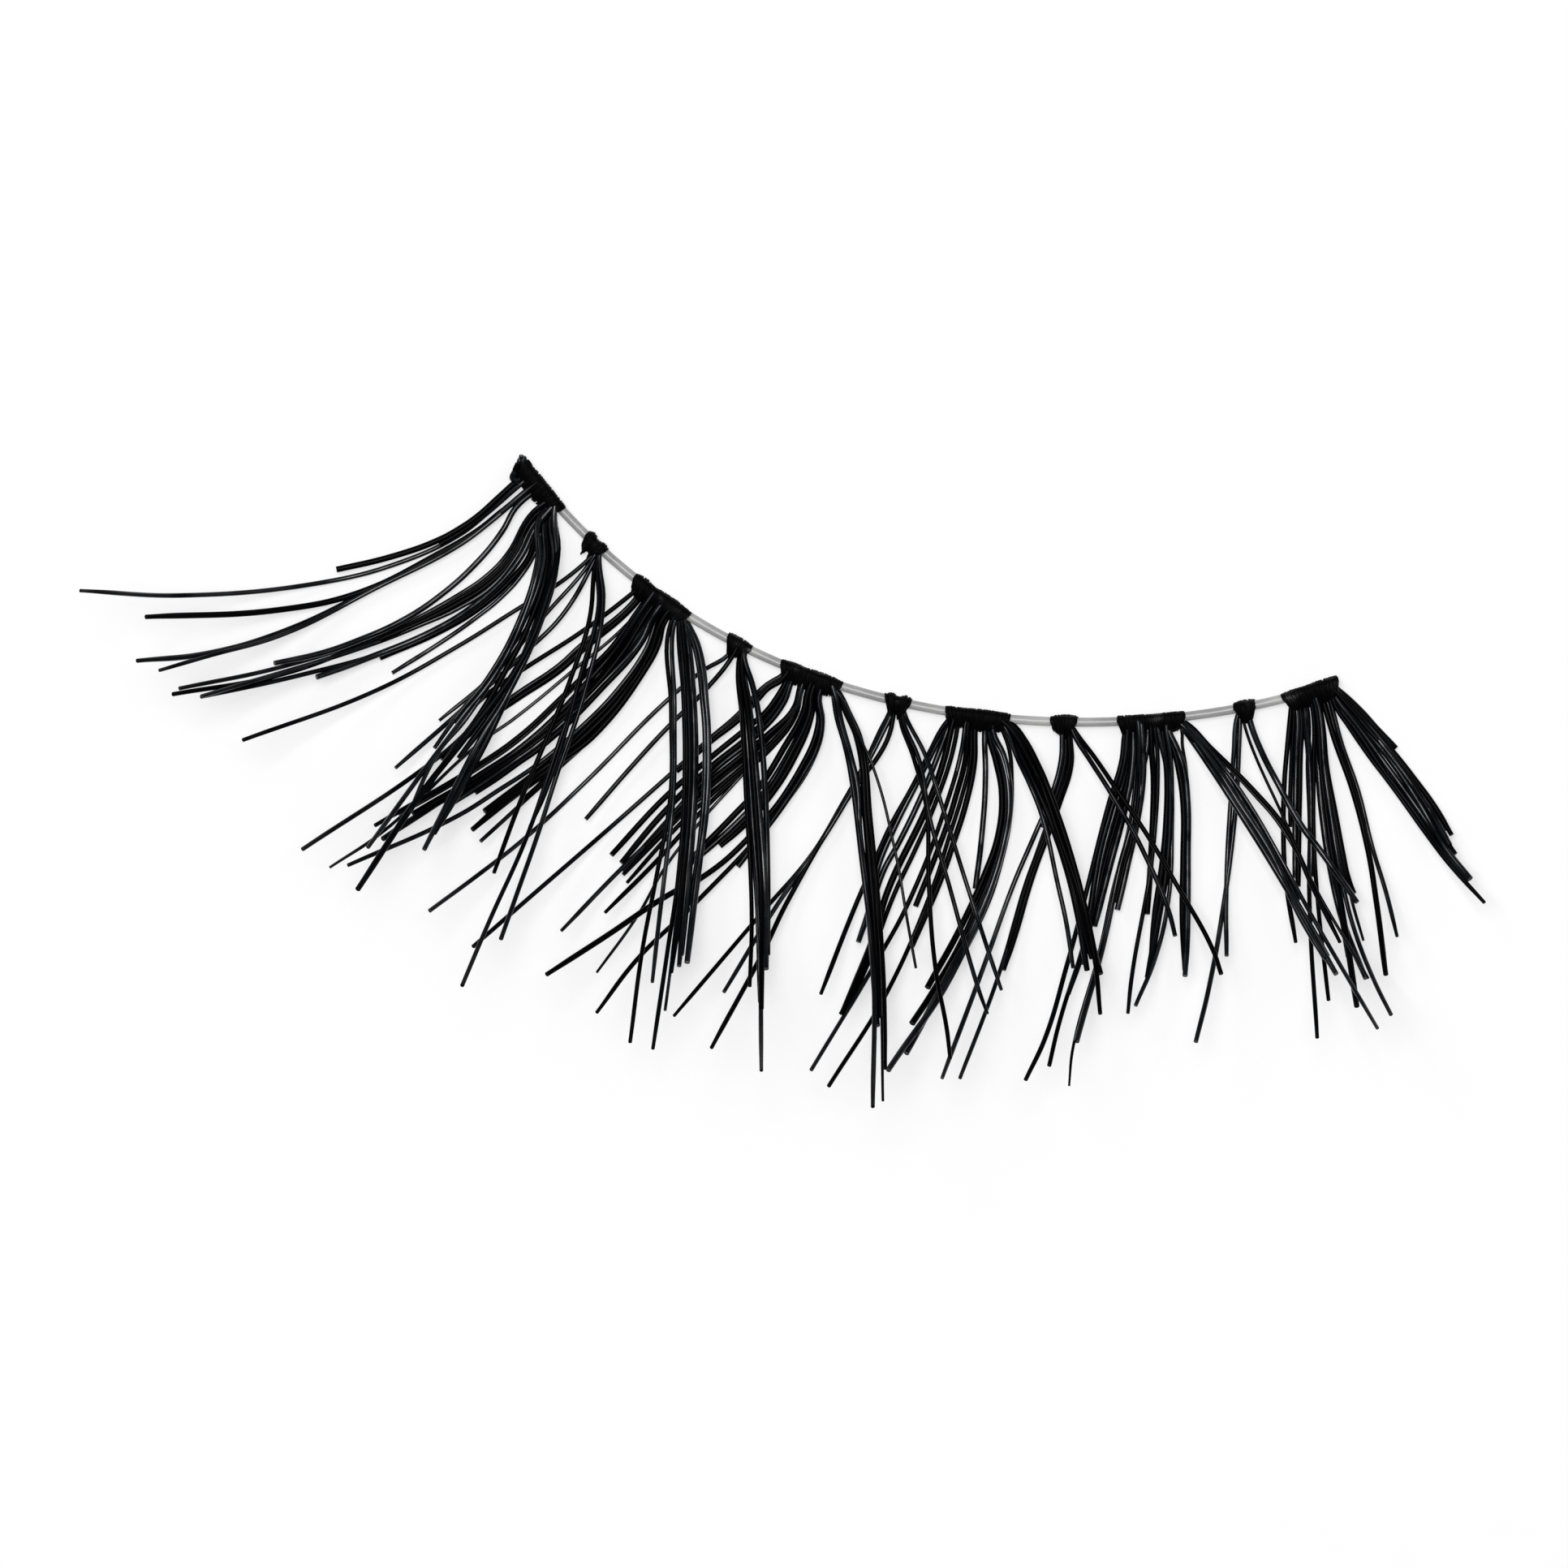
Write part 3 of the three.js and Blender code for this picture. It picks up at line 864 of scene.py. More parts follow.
@dataclass(frozen=True)
class KnotSeat:
    """Where one knot sits.

    Attributes:
        middle: Its middle, on the floor.
        heading: The heading of the band there.
        half: Half of its length, in metres.
        hold: Half of the length within which it holds its fibres, in metres.
    """

    middle: Vector
    heading: Vector
    half: float
    hold: float

    @classmethod
    def of(cls, knot: KnotChart, line: BandLine) -> "KnotSeat":
        """The seat of one knot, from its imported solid.

        Args:
            knot: The knot.
            line: The band's line.

        Returns:
            The seat.
        """
        low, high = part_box(knot.node)
        middle = Vector(((low[0] + high[0]) / 2, (low[1] + high[1]) / 2, 0.0))
        half = knot.length * MM / 2
        return cls(middle, line.heading(middle), half, half * knot.hold * (1.0 - knot.form.value))

    def held(self, place: Vector) -> Vector:
        """The place well inside the knot from which a fibre leaves for a place on the floor."""
        reach = (place - self.middle).dot(self.heading)
        return self.middle + self.heading * max(-self.hold, min(self.hold, reach))


# Finishes


def start_material(name: str) -> tuple[bpy.types.Material, Graph, bpy.types.Node]:
    """Starts a material with one shader.

    Args:
        name: The material's name.

    Returns:
        The material, its builder and its shader.
    """
    material = bpy.data.materials.new(name)
    material.use_nodes = True
    shader = material.node_tree.nodes["Principled BSDF"]
    return material, Graph(material.node_tree), shader


@dataclass(frozen=True)
class FibreFinish:
    """Black synthetic lash fibre, with a gloss that shows in stretches on some fibres.

    Attributes:
        name: The material's name.
        dark: The shade up to which a fibre is darkest, and that colour.
        pale: The shade from which it is palest, and that colour; its paler, cooler tint is partly painted
            sheen.
        roughness: Its usual roughness.
        roughness_swing: How far the streaks change that.
        shine: The shine of the bare fibre.
        gloss: The strength of the gloss.
        gloss_roughness: The roughness of the gloss.
        glossy_tones: The tones of a fibre between which the gloss sets in.
        glossy_streaks: The strengths of a streak between which the gloss sets in.
        streaks: How often the streaks change along a fibre.
        streak_stride: How far apart the streaks of two fibres are drawn.
        streak_detail: How ragged the streaks are.
        grain_scale: The grains in a metre.
        grain_detail: How ragged the grain is.
        grain_strength: How strongly the grain shows.
        grain_depth: The depth of the grain, in millimetres.
    """

    name: str = "black_fibre"
    dark: Stop = (0.35, (0.0004, 0.0004, 0.0005))
    # The pale stop is partly the fibre's own tone and partly painted sheen, with a cool tint.
    pale: Stop = (0.8, (0.0031, 0.0036, 0.0056))
    roughness: float = 0.3
    roughness_swing: float = 0.2
    shine: float = 0.035
    gloss: float = 0.75
    gloss_roughness: float = 0.16
    glossy_tones: Span = (0.42, 0.9)
    glossy_streaks: Span = (0.3, 0.62)
    streaks: float = 9.0
    streak_stride: float = 61.0
    streak_detail: float = 3.0
    grain_scale: float = 9000.0
    grain_detail: float = 2.0
    grain_strength: float = 0.15
    grain_depth: float = 0.01

    def material(self) -> bpy.types.Material:
        """Builds the material.

        Returns:
            The material.
        """
        material, graph, shader = start_material(self.name)
        tone = graph.add("ShaderNodeAttribute", {"attribute_name": "tone"}, output="Fac")
        along = graph.add("ShaderNodeAttribute", {"attribute_name": "along"}, output="Fac")
        course = graph.vector(along * self.streaks, tone * self.streak_stride, 0.0)
        streak = graph.noise(course, detail=self.streak_detail)
        grain = graph.noise(graph.surface(), self.grain_scale, self.grain_detail)
        # Painted sheen: the colour pales and turns cooler along the same streaks where the gloss shows, on
        # top of each fibre's random tone.
        shade = (tone + streak) / 2.0
        glossy = graph.smooth(tone, *self.glossy_tones) * graph.smooth(streak, *self.glossy_streaks)
        graph.feed(shader.inputs["Base Color"], graph.ramp(shade, self.dark, self.pale))
        graph.feed(shader.inputs["Roughness"], self.roughness + streak.swing() * self.roughness_swing)
        graph.feed(shader.inputs["Coat Weight"], glossy * self.gloss)
        graph.feed(shader.inputs["Normal"], graph.bump(grain, self.grain_strength, self.grain_depth))
        shader.inputs["Specular IOR Level"].default_value = self.shine
        shader.inputs["Coat Roughness"].default_value = self.gloss_roughness
        return material


@dataclass(frozen=True)
class KnotFinish:
    """Black fibre wound tight and set with a little glue, so duller than the free fibres.

    Attributes:
        name: The material's name.
        dark: The grain up to which it is darkest, and that colour.
        pale: The grain from which it is palest, and that colour.
        roughness: Its usual roughness.
        roughness_swing: How far the grain changes that.
        shine: The shine of the bare fibre.
        gloss: The strength of the glue's gloss.
        gloss_roughness: The roughness of the glue.
        glossy_patches: The strengths of a patch of glue between which the gloss sets in.
        patch_scale: The patches of glue in a metre.
        grain_scale: The grains in a metre.
        grain_detail: How ragged the grain is.
        grain_strength: How strongly the grain shows.
        grain_depth: The depth of the grain, in millimetres.
    """

    name: str = "wound_fibre"
    dark: Stop = (0.3, (0.0006, 0.0006, 0.0007))
    pale: Stop = (0.75, (0.0022, 0.0022, 0.0026))
    roughness: float = 0.48
    roughness_swing: float = 0.4
    shine: float = 0.035
    gloss: float = 0.4
    gloss_roughness: float = 0.3
    glossy_patches: Span = (0.55, 0.75)
    patch_scale: float = 1500.0
    grain_scale: float = 5200.0
    grain_detail: float = 4.0
    grain_strength: float = 0.3
    grain_depth: float = 0.03

    def material(self) -> bpy.types.Material:
        """Builds the material.

        Returns:
            The material.
        """
        material, graph, shader = start_material(self.name)
        place = graph.surface()
        grain = graph.noise(place, self.grain_scale, self.grain_detail)
        glue = graph.smooth(graph.noise(place, self.patch_scale), *self.glossy_patches)
        graph.feed(shader.inputs["Base Color"], graph.ramp(grain, self.dark, self.pale))
        graph.feed(shader.inputs["Roughness"], self.roughness + grain.swing() * self.roughness_swing)
        graph.feed(shader.inputs["Coat Weight"], glue * self.gloss)
        graph.feed(shader.inputs["Normal"], graph.bump(grain, self.grain_strength, self.grain_depth))
        shader.inputs["Specular IOR Level"].default_value = self.shine
        shader.inputs["Coat Roughness"].default_value = self.gloss_roughness
        return material


@dataclass(frozen=True)
class BandFinish:
    """Clear nylon thread, smooth and a little grey.

    Attributes:
        name: The material's name.
        dark: The cloud up to which it is darkest, and that colour.
        pale: The cloud from which it is palest, and that colour.
        roughness: Its usual roughness.
        roughness_swing: How far the clouds change that.
        clearness: The share of light that goes through it.
        bending: How strongly it bends light, as nylon does.
        cloud_scale: The clouds in a metre.
        cloud_detail: How ragged the clouds are.
    """

    name: str = "clear_nylon"
    dark: Stop = (0.3, (0.37, 0.37, 0.37))
    pale: Stop = (0.7, (0.56, 0.56, 0.555))
    roughness: float = 0.34
    roughness_swing: float = 0.15
    clearness: float = 0.4
    bending: float = 1.53
    cloud_scale: float = 700.0
    cloud_detail: float = 2.0

    def material(self) -> bpy.types.Material:
        """Builds the material.

        Returns:
            The material.
        """
        material, graph, shader = start_material(self.name)
        cloud = graph.noise(graph.surface(), self.cloud_scale, self.cloud_detail)
        graph.feed(shader.inputs["Base Color"], graph.ramp(cloud, self.dark, self.pale))
        graph.feed(shader.inputs["Roughness"], self.roughness + cloud.swing() * self.roughness_swing)
        shader.inputs["Transmission Weight"].default_value = self.clearness
        shader.inputs["IOR"].default_value = self.bending
        return material


@dataclass(frozen=True)
class FloorFinish:
    """Plain pale paper on a light table.

    Attributes:
        name: The material's name.
        dark: The tooth up to which the paper is darkest, and that colour.
        pale: The tooth from which it is palest, and that colour.
        roughness: Its roughness.
        shine: Its shine.
        glow: The light that comes through it.
        tooth_scale: The teeth in a metre.
        tooth_detail: How ragged the tooth is.
    """

    name: str = "pale_paper"
    dark: Stop = (0.3, (0.444, 0.444, 0.444))
    pale: Stop = (0.7, (0.45, 0.45, 0.45))
    roughness: float = 0.9
    shine: float = 0.1
    glow: float = 0.53
    tooth_scale: float = 900.0
    tooth_detail: float = 3.0

    def material(self) -> bpy.types.Material:
        """Builds the material.

        Returns:
            The material.
        """
        material, graph, shader = start_material(self.name)
        tooth = graph.noise(graph.surface(), self.tooth_scale, self.tooth_detail)
        graph.feed(shader.inputs["Base Color"], graph.ramp(tooth, self.dark, self.pale))
        shader.inputs["Emission Color"].default_value = WHITE
        shader.inputs["Emission Strength"].default_value = self.glow
        shader.inputs["Roughness"].default_value = self.roughness
        shader.inputs["Specular IOR Level"].default_value = self.shine
        return material


# Pieces


def line_mesh(name: str, lines: list[list[Vector]], numbers: dict[str, list[float]]) -> bpy.types.Mesh:
    """A mesh of loose lines whose points carry numbers.

    Args:
        name: The mesh's name.
        lines: The points of each line.
        numbers: For each name, a number for each point, line after line.

    Returns:
        The mesh.
    """
    points: list[Vector] = []
    edges: list[tuple[int, int]] = []
    for line in lines:
        first = len(points)
        points.extend(line)
        edges.extend((first + step, first + step + 1) for step in range(len(line) - 1))
    mesh = bpy.data.meshes.new(name)
    mesh.from_pydata(points, edges, [])
    for key, values in numbers.items():
        mesh.attributes.new(key, "FLOAT", "POINT").data.foreach_set("value", values)
    return mesh


def seat_piece(piece: bpy.types.Object, node: str) -> None:
    """Seats a finished piece on the body, in place of a solid.

    Args:
        piece: The piece.
        node: The solid that it stands for.
    """
    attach(piece, BODY)
    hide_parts(node)
    LOG.info("%s: %d faces", piece.name, len(piece.data.polygons))


class Draw(Enum):
    """What is drawn by chance for each fibre, by the number that sets its seed apart."""

    CUT = 1
    COURSE = 2
    SIDE = 3
    CURL = 5
    BED = 6
    ROOT = 7
    GAUGE = 8
    TIP = 9
    TONE = 10


@dataclass
class FibreLocks:
    """All the free fibres, a piece for each lock.

    Attributes:
        chart: What turns pixels into places.
        line: The band's line.
        seats: Where each knot sits.
        curl: How the fibres rise.
        finish: Their material.
        sides: The sides of a fibre's section.
        steps: The points along a fibre.
        bend_steps: The points between two charted places, before the steps are spaced evenly.
        lift: How high a fibre may lie in its layer, in millimetres.
        wander: How far a fibre strays to the sides, in millimetres.
        wander_up: How many times that it strays up and down.
        waves: How often it strays along its length.
        courses: The span of noise that the fibres are drawn from.
        spread: How far a copy may lie beside its path, in millimetres.
        spread_root: The share of its spread that a copy has at its root.
        spread_full: The share of its length at which a copy has all of it.
        shorten: The largest share by which a copy is cut short.
        shorten_range: The shares of that between which copies are drawn.
        curl_range: The shares of the usual rise between which fibres are drawn.
        root_range: The heights in the knot between which roots are drawn, in millimetres.
        gauge_range: The shares of its charted thickness between which a fibre is drawn.
        tip_start: The share of its length at which a fibre starts to thin.
        tip_range: The shares between which its thinning is drawn.
        seed: The first lock's seed.
        seed_stride: How far apart the seeds of two locks are.
    """

    chart: PhotoChart
    line: BandLine
    seats: dict[str, KnotSeat]
    curl: Curl
    finish: bpy.types.Material
    sides: int = 10
    steps: int = 60
    bend_steps: int = 12
    lift: float = 0.36
    wander: float = 0.05
    wander_up: float = 2.0
    waves: float = 2.2
    courses: Span = (0.0, 90.0)
    spread: float = 0.15
    spread_root: float = 0.35
    spread_full: float = 0.7
    shorten: float = 0.16
    shorten_range: Span = (0.2, 1.0)
    curl_range: Span = (0.86, 1.12)
    root_range: Span = (-0.12, 0.16)
    gauge_range: Span = (0.9, 1.08)
    tip_start: float = 0.9
    tip_range: Span = (0.0, 0.25)
    seed: int = 11
    seed_stride: int = 17

    def build(self, charts: tuple[LockChart, ...]) -> None:
        """Makes, dresses and seats every lock.

        Args:
            charts: The fibres of each lock.
        """
        guide = self._band_guide()
        recipe = self._recipe(guide)
        for number, chart in enumerate(charts):
            values = {"Layer Floor": chart.layer.value * MM, "Seed": self.seed + number}
            piece = recipe.make(f"{chart.node}_fibres", self._guides(chart), values)
            seat_piece(piece, chart.node)
        bpy.data.objects.remove(guide)

    def _band_guide(self) -> bpy.types.Object:
        """A passing object that holds the band's line, for the curl to measure from.

        Returns:
            The object.
        """
        guide = bpy.data.objects.new("band_guide", line_mesh("band_guide", [self.line.points()], {}))
        bpy.context.scene.collection.objects.link(guide)
        return guide

    def _guides(self, chart: LockChart) -> bpy.types.Mesh:
        """The lock's fibres as lines on the floor, from inside the knot to their tips.

        Args:
            chart: The lock's fibres.

        Returns:
            The lines, with each fibre's radius and number of copies.
        """
        lines = []
        numbers: dict[str, list[float]] = {"gauge": [], "copies": []}
        for strand in chart.strands:
            places = [self.chart.place(pixel) for pixel in strand.path]
            line = [self.seats[chart.knot].held(places[0]), *places]
            lines.append(line)
            numbers["gauge"] += [strand.gauge.value * MM] * len(line)
            numbers["copies"] += [float(strand.copies)] * len(line)
        return line_mesh(chart.node, lines, numbers)

    def _recipe(self, guide: bpy.types.Object) -> Recipe:
        """The tree that turns lines on the floor into curled fibres.

        Args:
            guide: The band's line.

        Returns:
            The recipe.
        """
        recipe = Recipe("fibre_lock")
        graph = recipe.graph
        band = recipe.input("Band", guide, "NodeSocketObject")
        floor = recipe.input("Layer Floor")
        seed = recipe.input("Seed", kind="NodeSocketInt")
        root_height = recipe.input("Root Height", self.line.height * MM)
        outer_start = recipe.input("Curl Outer Start", self.curl.outer_start * MM)
        inner_start = recipe.input("Curl Inner Start", self.curl.inner_start * MM)
        curl_radius = recipe.input("Curl Radius", self.curl.radius * MM)
        climb = recipe.input("Climb", self.curl.climb * MM)
        lift = recipe.input("Lift", self.lift * MM)
        wander = recipe.input("Wander", self.wander * MM)
        spread = recipe.input("Spread", self.spread * MM)
        shorten = recipe.input("Shorten", self.shorten)
        steps = recipe.input("Steps", self.steps, "NodeSocketInt")
        sides = recipe.input("Sides", self.sides, "NodeSocketInt")

        def chance(draw: Draw, span: Span, key: Wire) -> Wire:
            """A number drawn for each fibre."""
            links = {"Min": span[0], "Max": span[1], "ID": key, "Seed": seed * self.seed_stride + draw.value}
            return graph.add("FunctionNodeRandomValue", {"data_type": "FLOAT"}, links)

        curve = graph.add("GeometryNodeMeshToCurve", links={"Mesh": recipe.guides})
        copies = graph.carried("copies")
        curve = graph.add(
            "GeometryNodeDuplicateElements", {"domain": "SPLINE"}, {"Geometry": curve, "Amount": copies}
        )
        twin = curve.sibling("Duplicate Index").at_most(1.0)
        curve = graph.add("GeometryNodeCurveSplineType", {"spline_type": "BEZIER"}, {"Curve": curve})
        easy = {"handle_type": "AUTO", "mode": {"LEFT", "RIGHT"}}
        curve = graph.add("GeometryNodeCurveSetHandles", easy, {"Curve": curve})
        links = {"Geometry": curve, "Resolution": self.bend_steps}
        curve = graph.add("GeometryNodeSetSplineResolution", links=links)
        each_curve = graph.add("GeometryNodeInputIndex")
        cut = 1.0 - shorten * twin * chance(Draw.CUT, self.shorten_range, each_curve)
        curve = graph.add("GeometryNodeTrimCurve", links={"Curve": curve, "End": cut})
        curve = graph.add("GeometryNodeResampleCurve", links={"Curve": curve, "Count": steps})

        key = graph.add("GeometryNodeCurveOfPoint", output="Curve Index")
        share = graph.add("GeometryNodeSplineParameter")
        length = share.sibling("Length")
        settled = graph.smooth(length, 0.0, climb)
        x, y, _ = graph.parts(graph.add("GeometryNodeInputPosition"))
        along_x, along_y, _ = graph.parts(graph.add("GeometryNodeInputTangent"))

        course = graph.vector(share * self.waves, chance(Draw.COURSE, self.courses, key), 0.0)
        drift_x, drift_y, drift_z = graph.parts(graph.noise(course, output="Color"))
        opened = graph.smooth(share, 0.0, self.spread_full) * (1.0 - self.spread_root) + self.spread_root
        fan = opened * twin * spread * chance(Draw.SIDE, BOTH_WAYS, key)
        x = x + drift_x.swing() * wander * settled + along_y * fan
        y = y + drift_y.swing() * wander * settled - along_x * fan

        info = graph.add("GeometryNodeObjectInfo", links={"Object": band}, output="Geometry")
        near = graph.add(
            "GeometryNodeProximity",
            {"target_element": "EDGES"},
            {"Geometry": info, "Sample Position": graph.vector(x, y, 0.0)},
        )
        near_x, _, _ = graph.parts(near)
        start = graph.add(
            "ShaderNodeMapRange",
            links={
                "Value": near_x,
                "From Min": self.line.outer_end[0] * MM,
                "From Max": self.line.inner_end[0] * MM,
                "To Min": outer_start,
                "To Max": inner_start,
            },
        )
        past = (near.sibling("Distance") - start).at_least(0.0)
        rise = past * past / (curl_radius * 2.0) * chance(Draw.CURL, self.curl_range, key)
        gauge = graph.carried("gauge")
        stray = drift_z.swing() * wander * self.wander_up
        bed = floor + gauge + lift * chance(Draw.BED, WHOLE, key) + stray
        lowest, highest = self.root_range
        held = root_height + chance(Draw.ROOT, (lowest * MM, highest * MM), key)
        height = (held + (bed - held) * settled + rise).at_least(gauge)
        curve = graph.add(
            "GeometryNodeSetPosition", links={"Geometry": curve, "Position": graph.vector(x, y, height)}
        )

        tip = graph.smooth(share, self.tip_start, 1.0) * chance(Draw.TIP, self.tip_range, key)
        radius = gauge * chance(Draw.GAUGE, self.gauge_range, key) * (1.0 - tip)
        for name, value in (("tone", chance(Draw.TONE, WHOLE, key)), ("along", share)):
            curve = graph.add(
                "GeometryNodeStoreNamedAttribute",
                {"data_type": "FLOAT", "domain": "POINT"},
                {"Geometry": curve, "Name": name, "Value": value},
            )
        recipe.end(graph.tube(curve, radius, sides), self.finish)
        return recipe


@dataclass
class Band:
    """The clear thread that carries the knots.

    Attributes:
        line: Its line.
        finish: Its material.
        diameter: Its diameter, in millimetres.
        sides: The sides of its section.
        outer_trim: Steps of the line by which it stops inside the outer knot.
        inner_trim: Steps of the line by which it stops inside the inner knot.
    """

    line: BandLine
    finish: bpy.types.Material
    diameter: float = 0.29
    sides: int = 20
    outer_trim: int = 1
    inner_trim: int = 3

    def build(self) -> None:
        """Makes, dresses and seats the thread."""
        recipe = Recipe("band_thread")
        graph = recipe.graph
        radius = recipe.input("Radius", self.diameter / 2 * MM)
        height = recipe.input("Height", self.line.height * MM)
        sides = recipe.input("Sides", self.sides, "NodeSocketInt")
        curve = graph.add("GeometryNodeMeshToCurve", links={"Mesh": recipe.guides})
        curve = graph.add(
            "GeometryNodeSetPosition", links={"Geometry": curve, "Offset": graph.vector(0.0, 0.0, height)}
        )
        recipe.end(graph.tube(curve, radius, sides), self.finish)
        places = self.line.points()[self.outer_trim : -self.inner_trim]
        piece = recipe.make("band_thread", line_mesh("band", [places], {}))
        seat_piece(piece, "band")


@dataclass(frozen=True)
class Winding:
    """One thread that is wound along a knot.

    Attributes:
        number: Its number, which sets its unevenness apart from the others'.
        density: Its turns, as a share of the closest winding.
        out: How far out it lies, as a share of the usual.
        way: The way round: 1 or -1.
    """

    number: int
    density: float
    out: float
    way: float


@dataclass
class Knots:
    """The knots of fibre wound round the thread, a piece for each.

    Attributes:
        line: The band's line.
        seats: Where each knot sits.
        finish: Their material.
        width: The diameter of the winding, in millimetres.
        thread: The radius of the wound thread, in millimetres.
        thread_sides: The sides of its section.
        turn_steps: The points along one turn of it.
        pitch: The step from one turn to the next, in millimetres.
        windings: The threads that are wound over each other.
        core: The radius of the fibres inside the winding, in millimetres.
        core_least: The least share of that radius, where a knot is thin.
        core_sides: The sides of the core's section.
        end_draw: The share by which a knot is drawn in at its ends.
        end_power: How close to its ends that happens.
        lump: How far lumps swell the winding, as a share.
        lumps_per_mm: How often they do along it.
        lump_scale: How finely they are broken up.
        lump_stride: How far apart the lumps of two knots are drawn.
        wobble: How far a turn strays along the knot, in millimetres.
        wobble_waves: How often it strays in a turn.
        wobble_stride: How far apart the straying of two knots is drawn.
        winding_stride: How far apart the straying of two windings is drawn.
        back: The depth behind the band, as a share of the round winding.
        front: The depth in front of it, towards the fibres.
        steps: The steps along a knot in which its thickness is given.
        seed: The first knot's seed.
    """

    line: BandLine
    seats: dict[str, KnotSeat]
    finish: bpy.types.Material
    width: float = 0.6
    thread: float = 0.032
    thread_sides: int = 8
    turn_steps: float = 16.0
    pitch: float = 0.056
    windings: tuple[Winding, ...] = (
        Winding(number=1, density=1.0, out=1.0, way=1.0),
        Winding(number=2, density=0.5, out=1.0, way=-1.0),
        Winding(number=3, density=0.2, out=1.02, way=1.0),
    )
    core: float = 0.25
    core_least: float = 0.84
    core_sides: int = 20
    end_draw: float = 0.18
    end_power: float = 6.0
    lump: float = 0.17
    lumps_per_mm: float = 1.5
    lump_scale: float = 1.1
    lump_stride: float = 7.3
    wobble: float = 0.18
    wobble_waves: float = 0.9
    wobble_stride: float = 3.7
    winding_stride: float = 5.3
    back: float = 0.8
    front: float = 1.75
    steps: int = 24
    seed: int = 5

    def build(self, charts: tuple[KnotChart, ...]) -> None:
        """Makes, dresses and seats every knot.

        Args:
            charts: The knots.
        """
        recipe = self._recipe()
        for number, chart in enumerate(charts):
            seat = self.seats[chart.node]
            values = {
                "Middle": tuple(seat.middle),
                "Heading": tuple(seat.heading),
                "Pinch": chart.form.value,
                "Turns": float(round((chart.length - 2 * self.thread) / self.pitch)),
                "Seed": float(self.seed + number),
            }
            piece = recipe.make(f"{chart.node}_winding", self._guides(chart), values)
            seat_piece(piece, chart.node)

    def _guides(self, chart: KnotChart) -> bpy.types.Mesh:
        """A line along the knot, in the middle of the band.

        Args:
            chart: The knot.

        Returns:
            The line, with the knot's thickness at each point.
        """
        seat = self.seats[chart.node]
        start = seat.middle + Vector((0.0, 0.0, self.line.height * MM))
        half = seat.half - self.thread * MM
        shares = [step / self.steps for step in range(self.steps + 1)]
        points = [start + seat.heading * half * (2.0 * share - 1.0) for share in shares]
        return line_mesh(chart.node, [points], {"swell": [chart.swell(share) for share in shares]})

    def _recipe(self) -> Recipe:
        """The tree that winds threads round a core and draws them out towards the fibres.

        Returns:
            The recipe.
        """
        recipe = Recipe("knot_winding")
        graph = recipe.graph
        middle_x, middle_y, _ = graph.parts(recipe.input("Middle", kind="NodeSocketVector"))
        heading_x, heading_y, _ = graph.parts(recipe.input("Heading", kind="NodeSocketVector"))
        pinch = recipe.input("Pinch")
        turns = recipe.input("Turns")
        seed = recipe.input("Seed")
        back = recipe.input("Back", self.back)
        front = recipe.input("Front", self.front)
        girth = recipe.input("Winding Radius", (self.width / 2 - self.thread) * MM)
        thread = recipe.input("Thread Radius", self.thread * MM)
        core = recipe.input("Core Radius", self.core * MM)
        lump = recipe.input("Lump", self.lump)
        wobble = recipe.input("Wobble", self.wobble * MM)
        axis = graph.add("GeometryNodeMeshToCurve", links={"Mesh": recipe.guides})

        def thickness(share: Wire) -> Wire:
            """The knot's thickness along it, drawn in at both ends."""
            from_middle = (share * 2.0 - 1.0).magnitude()
            return graph.carried("swell") * (1.0 - (from_middle**self.end_power) * self.end_draw)

        def wound(winding: Winding) -> Wire:
            """One thread wound along the knot, with its turns out of step.

            Args:
                winding: How the thread is wound.

            Returns:
                The thread.
            """
            rounds = turns * winding.density
            points = rounds * self.turn_steps + 1.0
            curve = graph.add("GeometryNodeResampleCurve", links={"Curve": axis, "Count": points})
            share = graph.add("GeometryNodeSplineParameter")
            across, up = (share * rounds * (math.tau * winding.way) + seed).circle()
            course = graph.vector(
                share * rounds * self.wobble_waves,
                seed * self.wobble_stride,
                winding.number * self.winding_stride,
            )
            drift_out, drift_along, _ = graph.parts(graph.noise(course, output="Color"))
            length = share.sibling("Length") * self.lumps_per_mm / MM
            spot = graph.vector(length + seed * self.lump_stride, across, up)
            bulge = graph.noise(spot, self.lump_scale).swing() * lump * 2.0
            reach = girth * winding.out * thickness(share) * (1.0 + bulge)
            reach = reach + drift_out.swing() * thread
            shift = drift_along.swing() * wobble
            x, y, z = graph.parts(graph.add("GeometryNodeInputPosition"))
            along_x, along_y, _ = graph.parts(graph.add("GeometryNodeInputTangent"))
            moved = graph.vector(
                x + along_y * across * reach + along_x * shift,
                y - along_x * across * reach + along_y * shift,
                z + up * reach,
            )
            curve = graph.add("GeometryNodeSetPosition", links={"Geometry": curve, "Position": moved})
            return graph.tube(curve, thread, self.thread_sides)

        thick_enough = thickness(graph.add("GeometryNodeSplineParameter")).at_least(self.core_least)
        body = graph.tube(axis, core * thick_enough, self.core_sides)
        together = graph.add("GeometryNodeJoinGeometry", links={"Geometry": body})
        target = together.socket.node.inputs["Geometry"]
        for winding in self.windings:
            recipe.tree.links.new(wound(winding).socket, target)
        x, y, z = graph.parts(graph.add("GeometryNodeInputPosition"))
        along = (x - middle_x) * heading_x + (y - middle_y) * heading_y
        ahead = (x - middle_x) * heading_y - (y - middle_y) * heading_x
        share = ahead / girth
        ahead = ahead * (back + (front - back) * graph.smooth(share, *BOTH_WAYS))
        along = along * (1.0 - share.at_least(0.0).at_most(1.0) * pinch)
        laid = graph.vector(
            middle_x + heading_x * along + heading_y * ahead,
            middle_y + heading_y * along - heading_x * ahead,
            z.at_least(0.0),
        )
        mesh = graph.add("GeometryNodeSetPosition", links={"Geometry": together, "Position": laid})
        recipe.end(mesh, self.finish)
        return recipe


# Studio


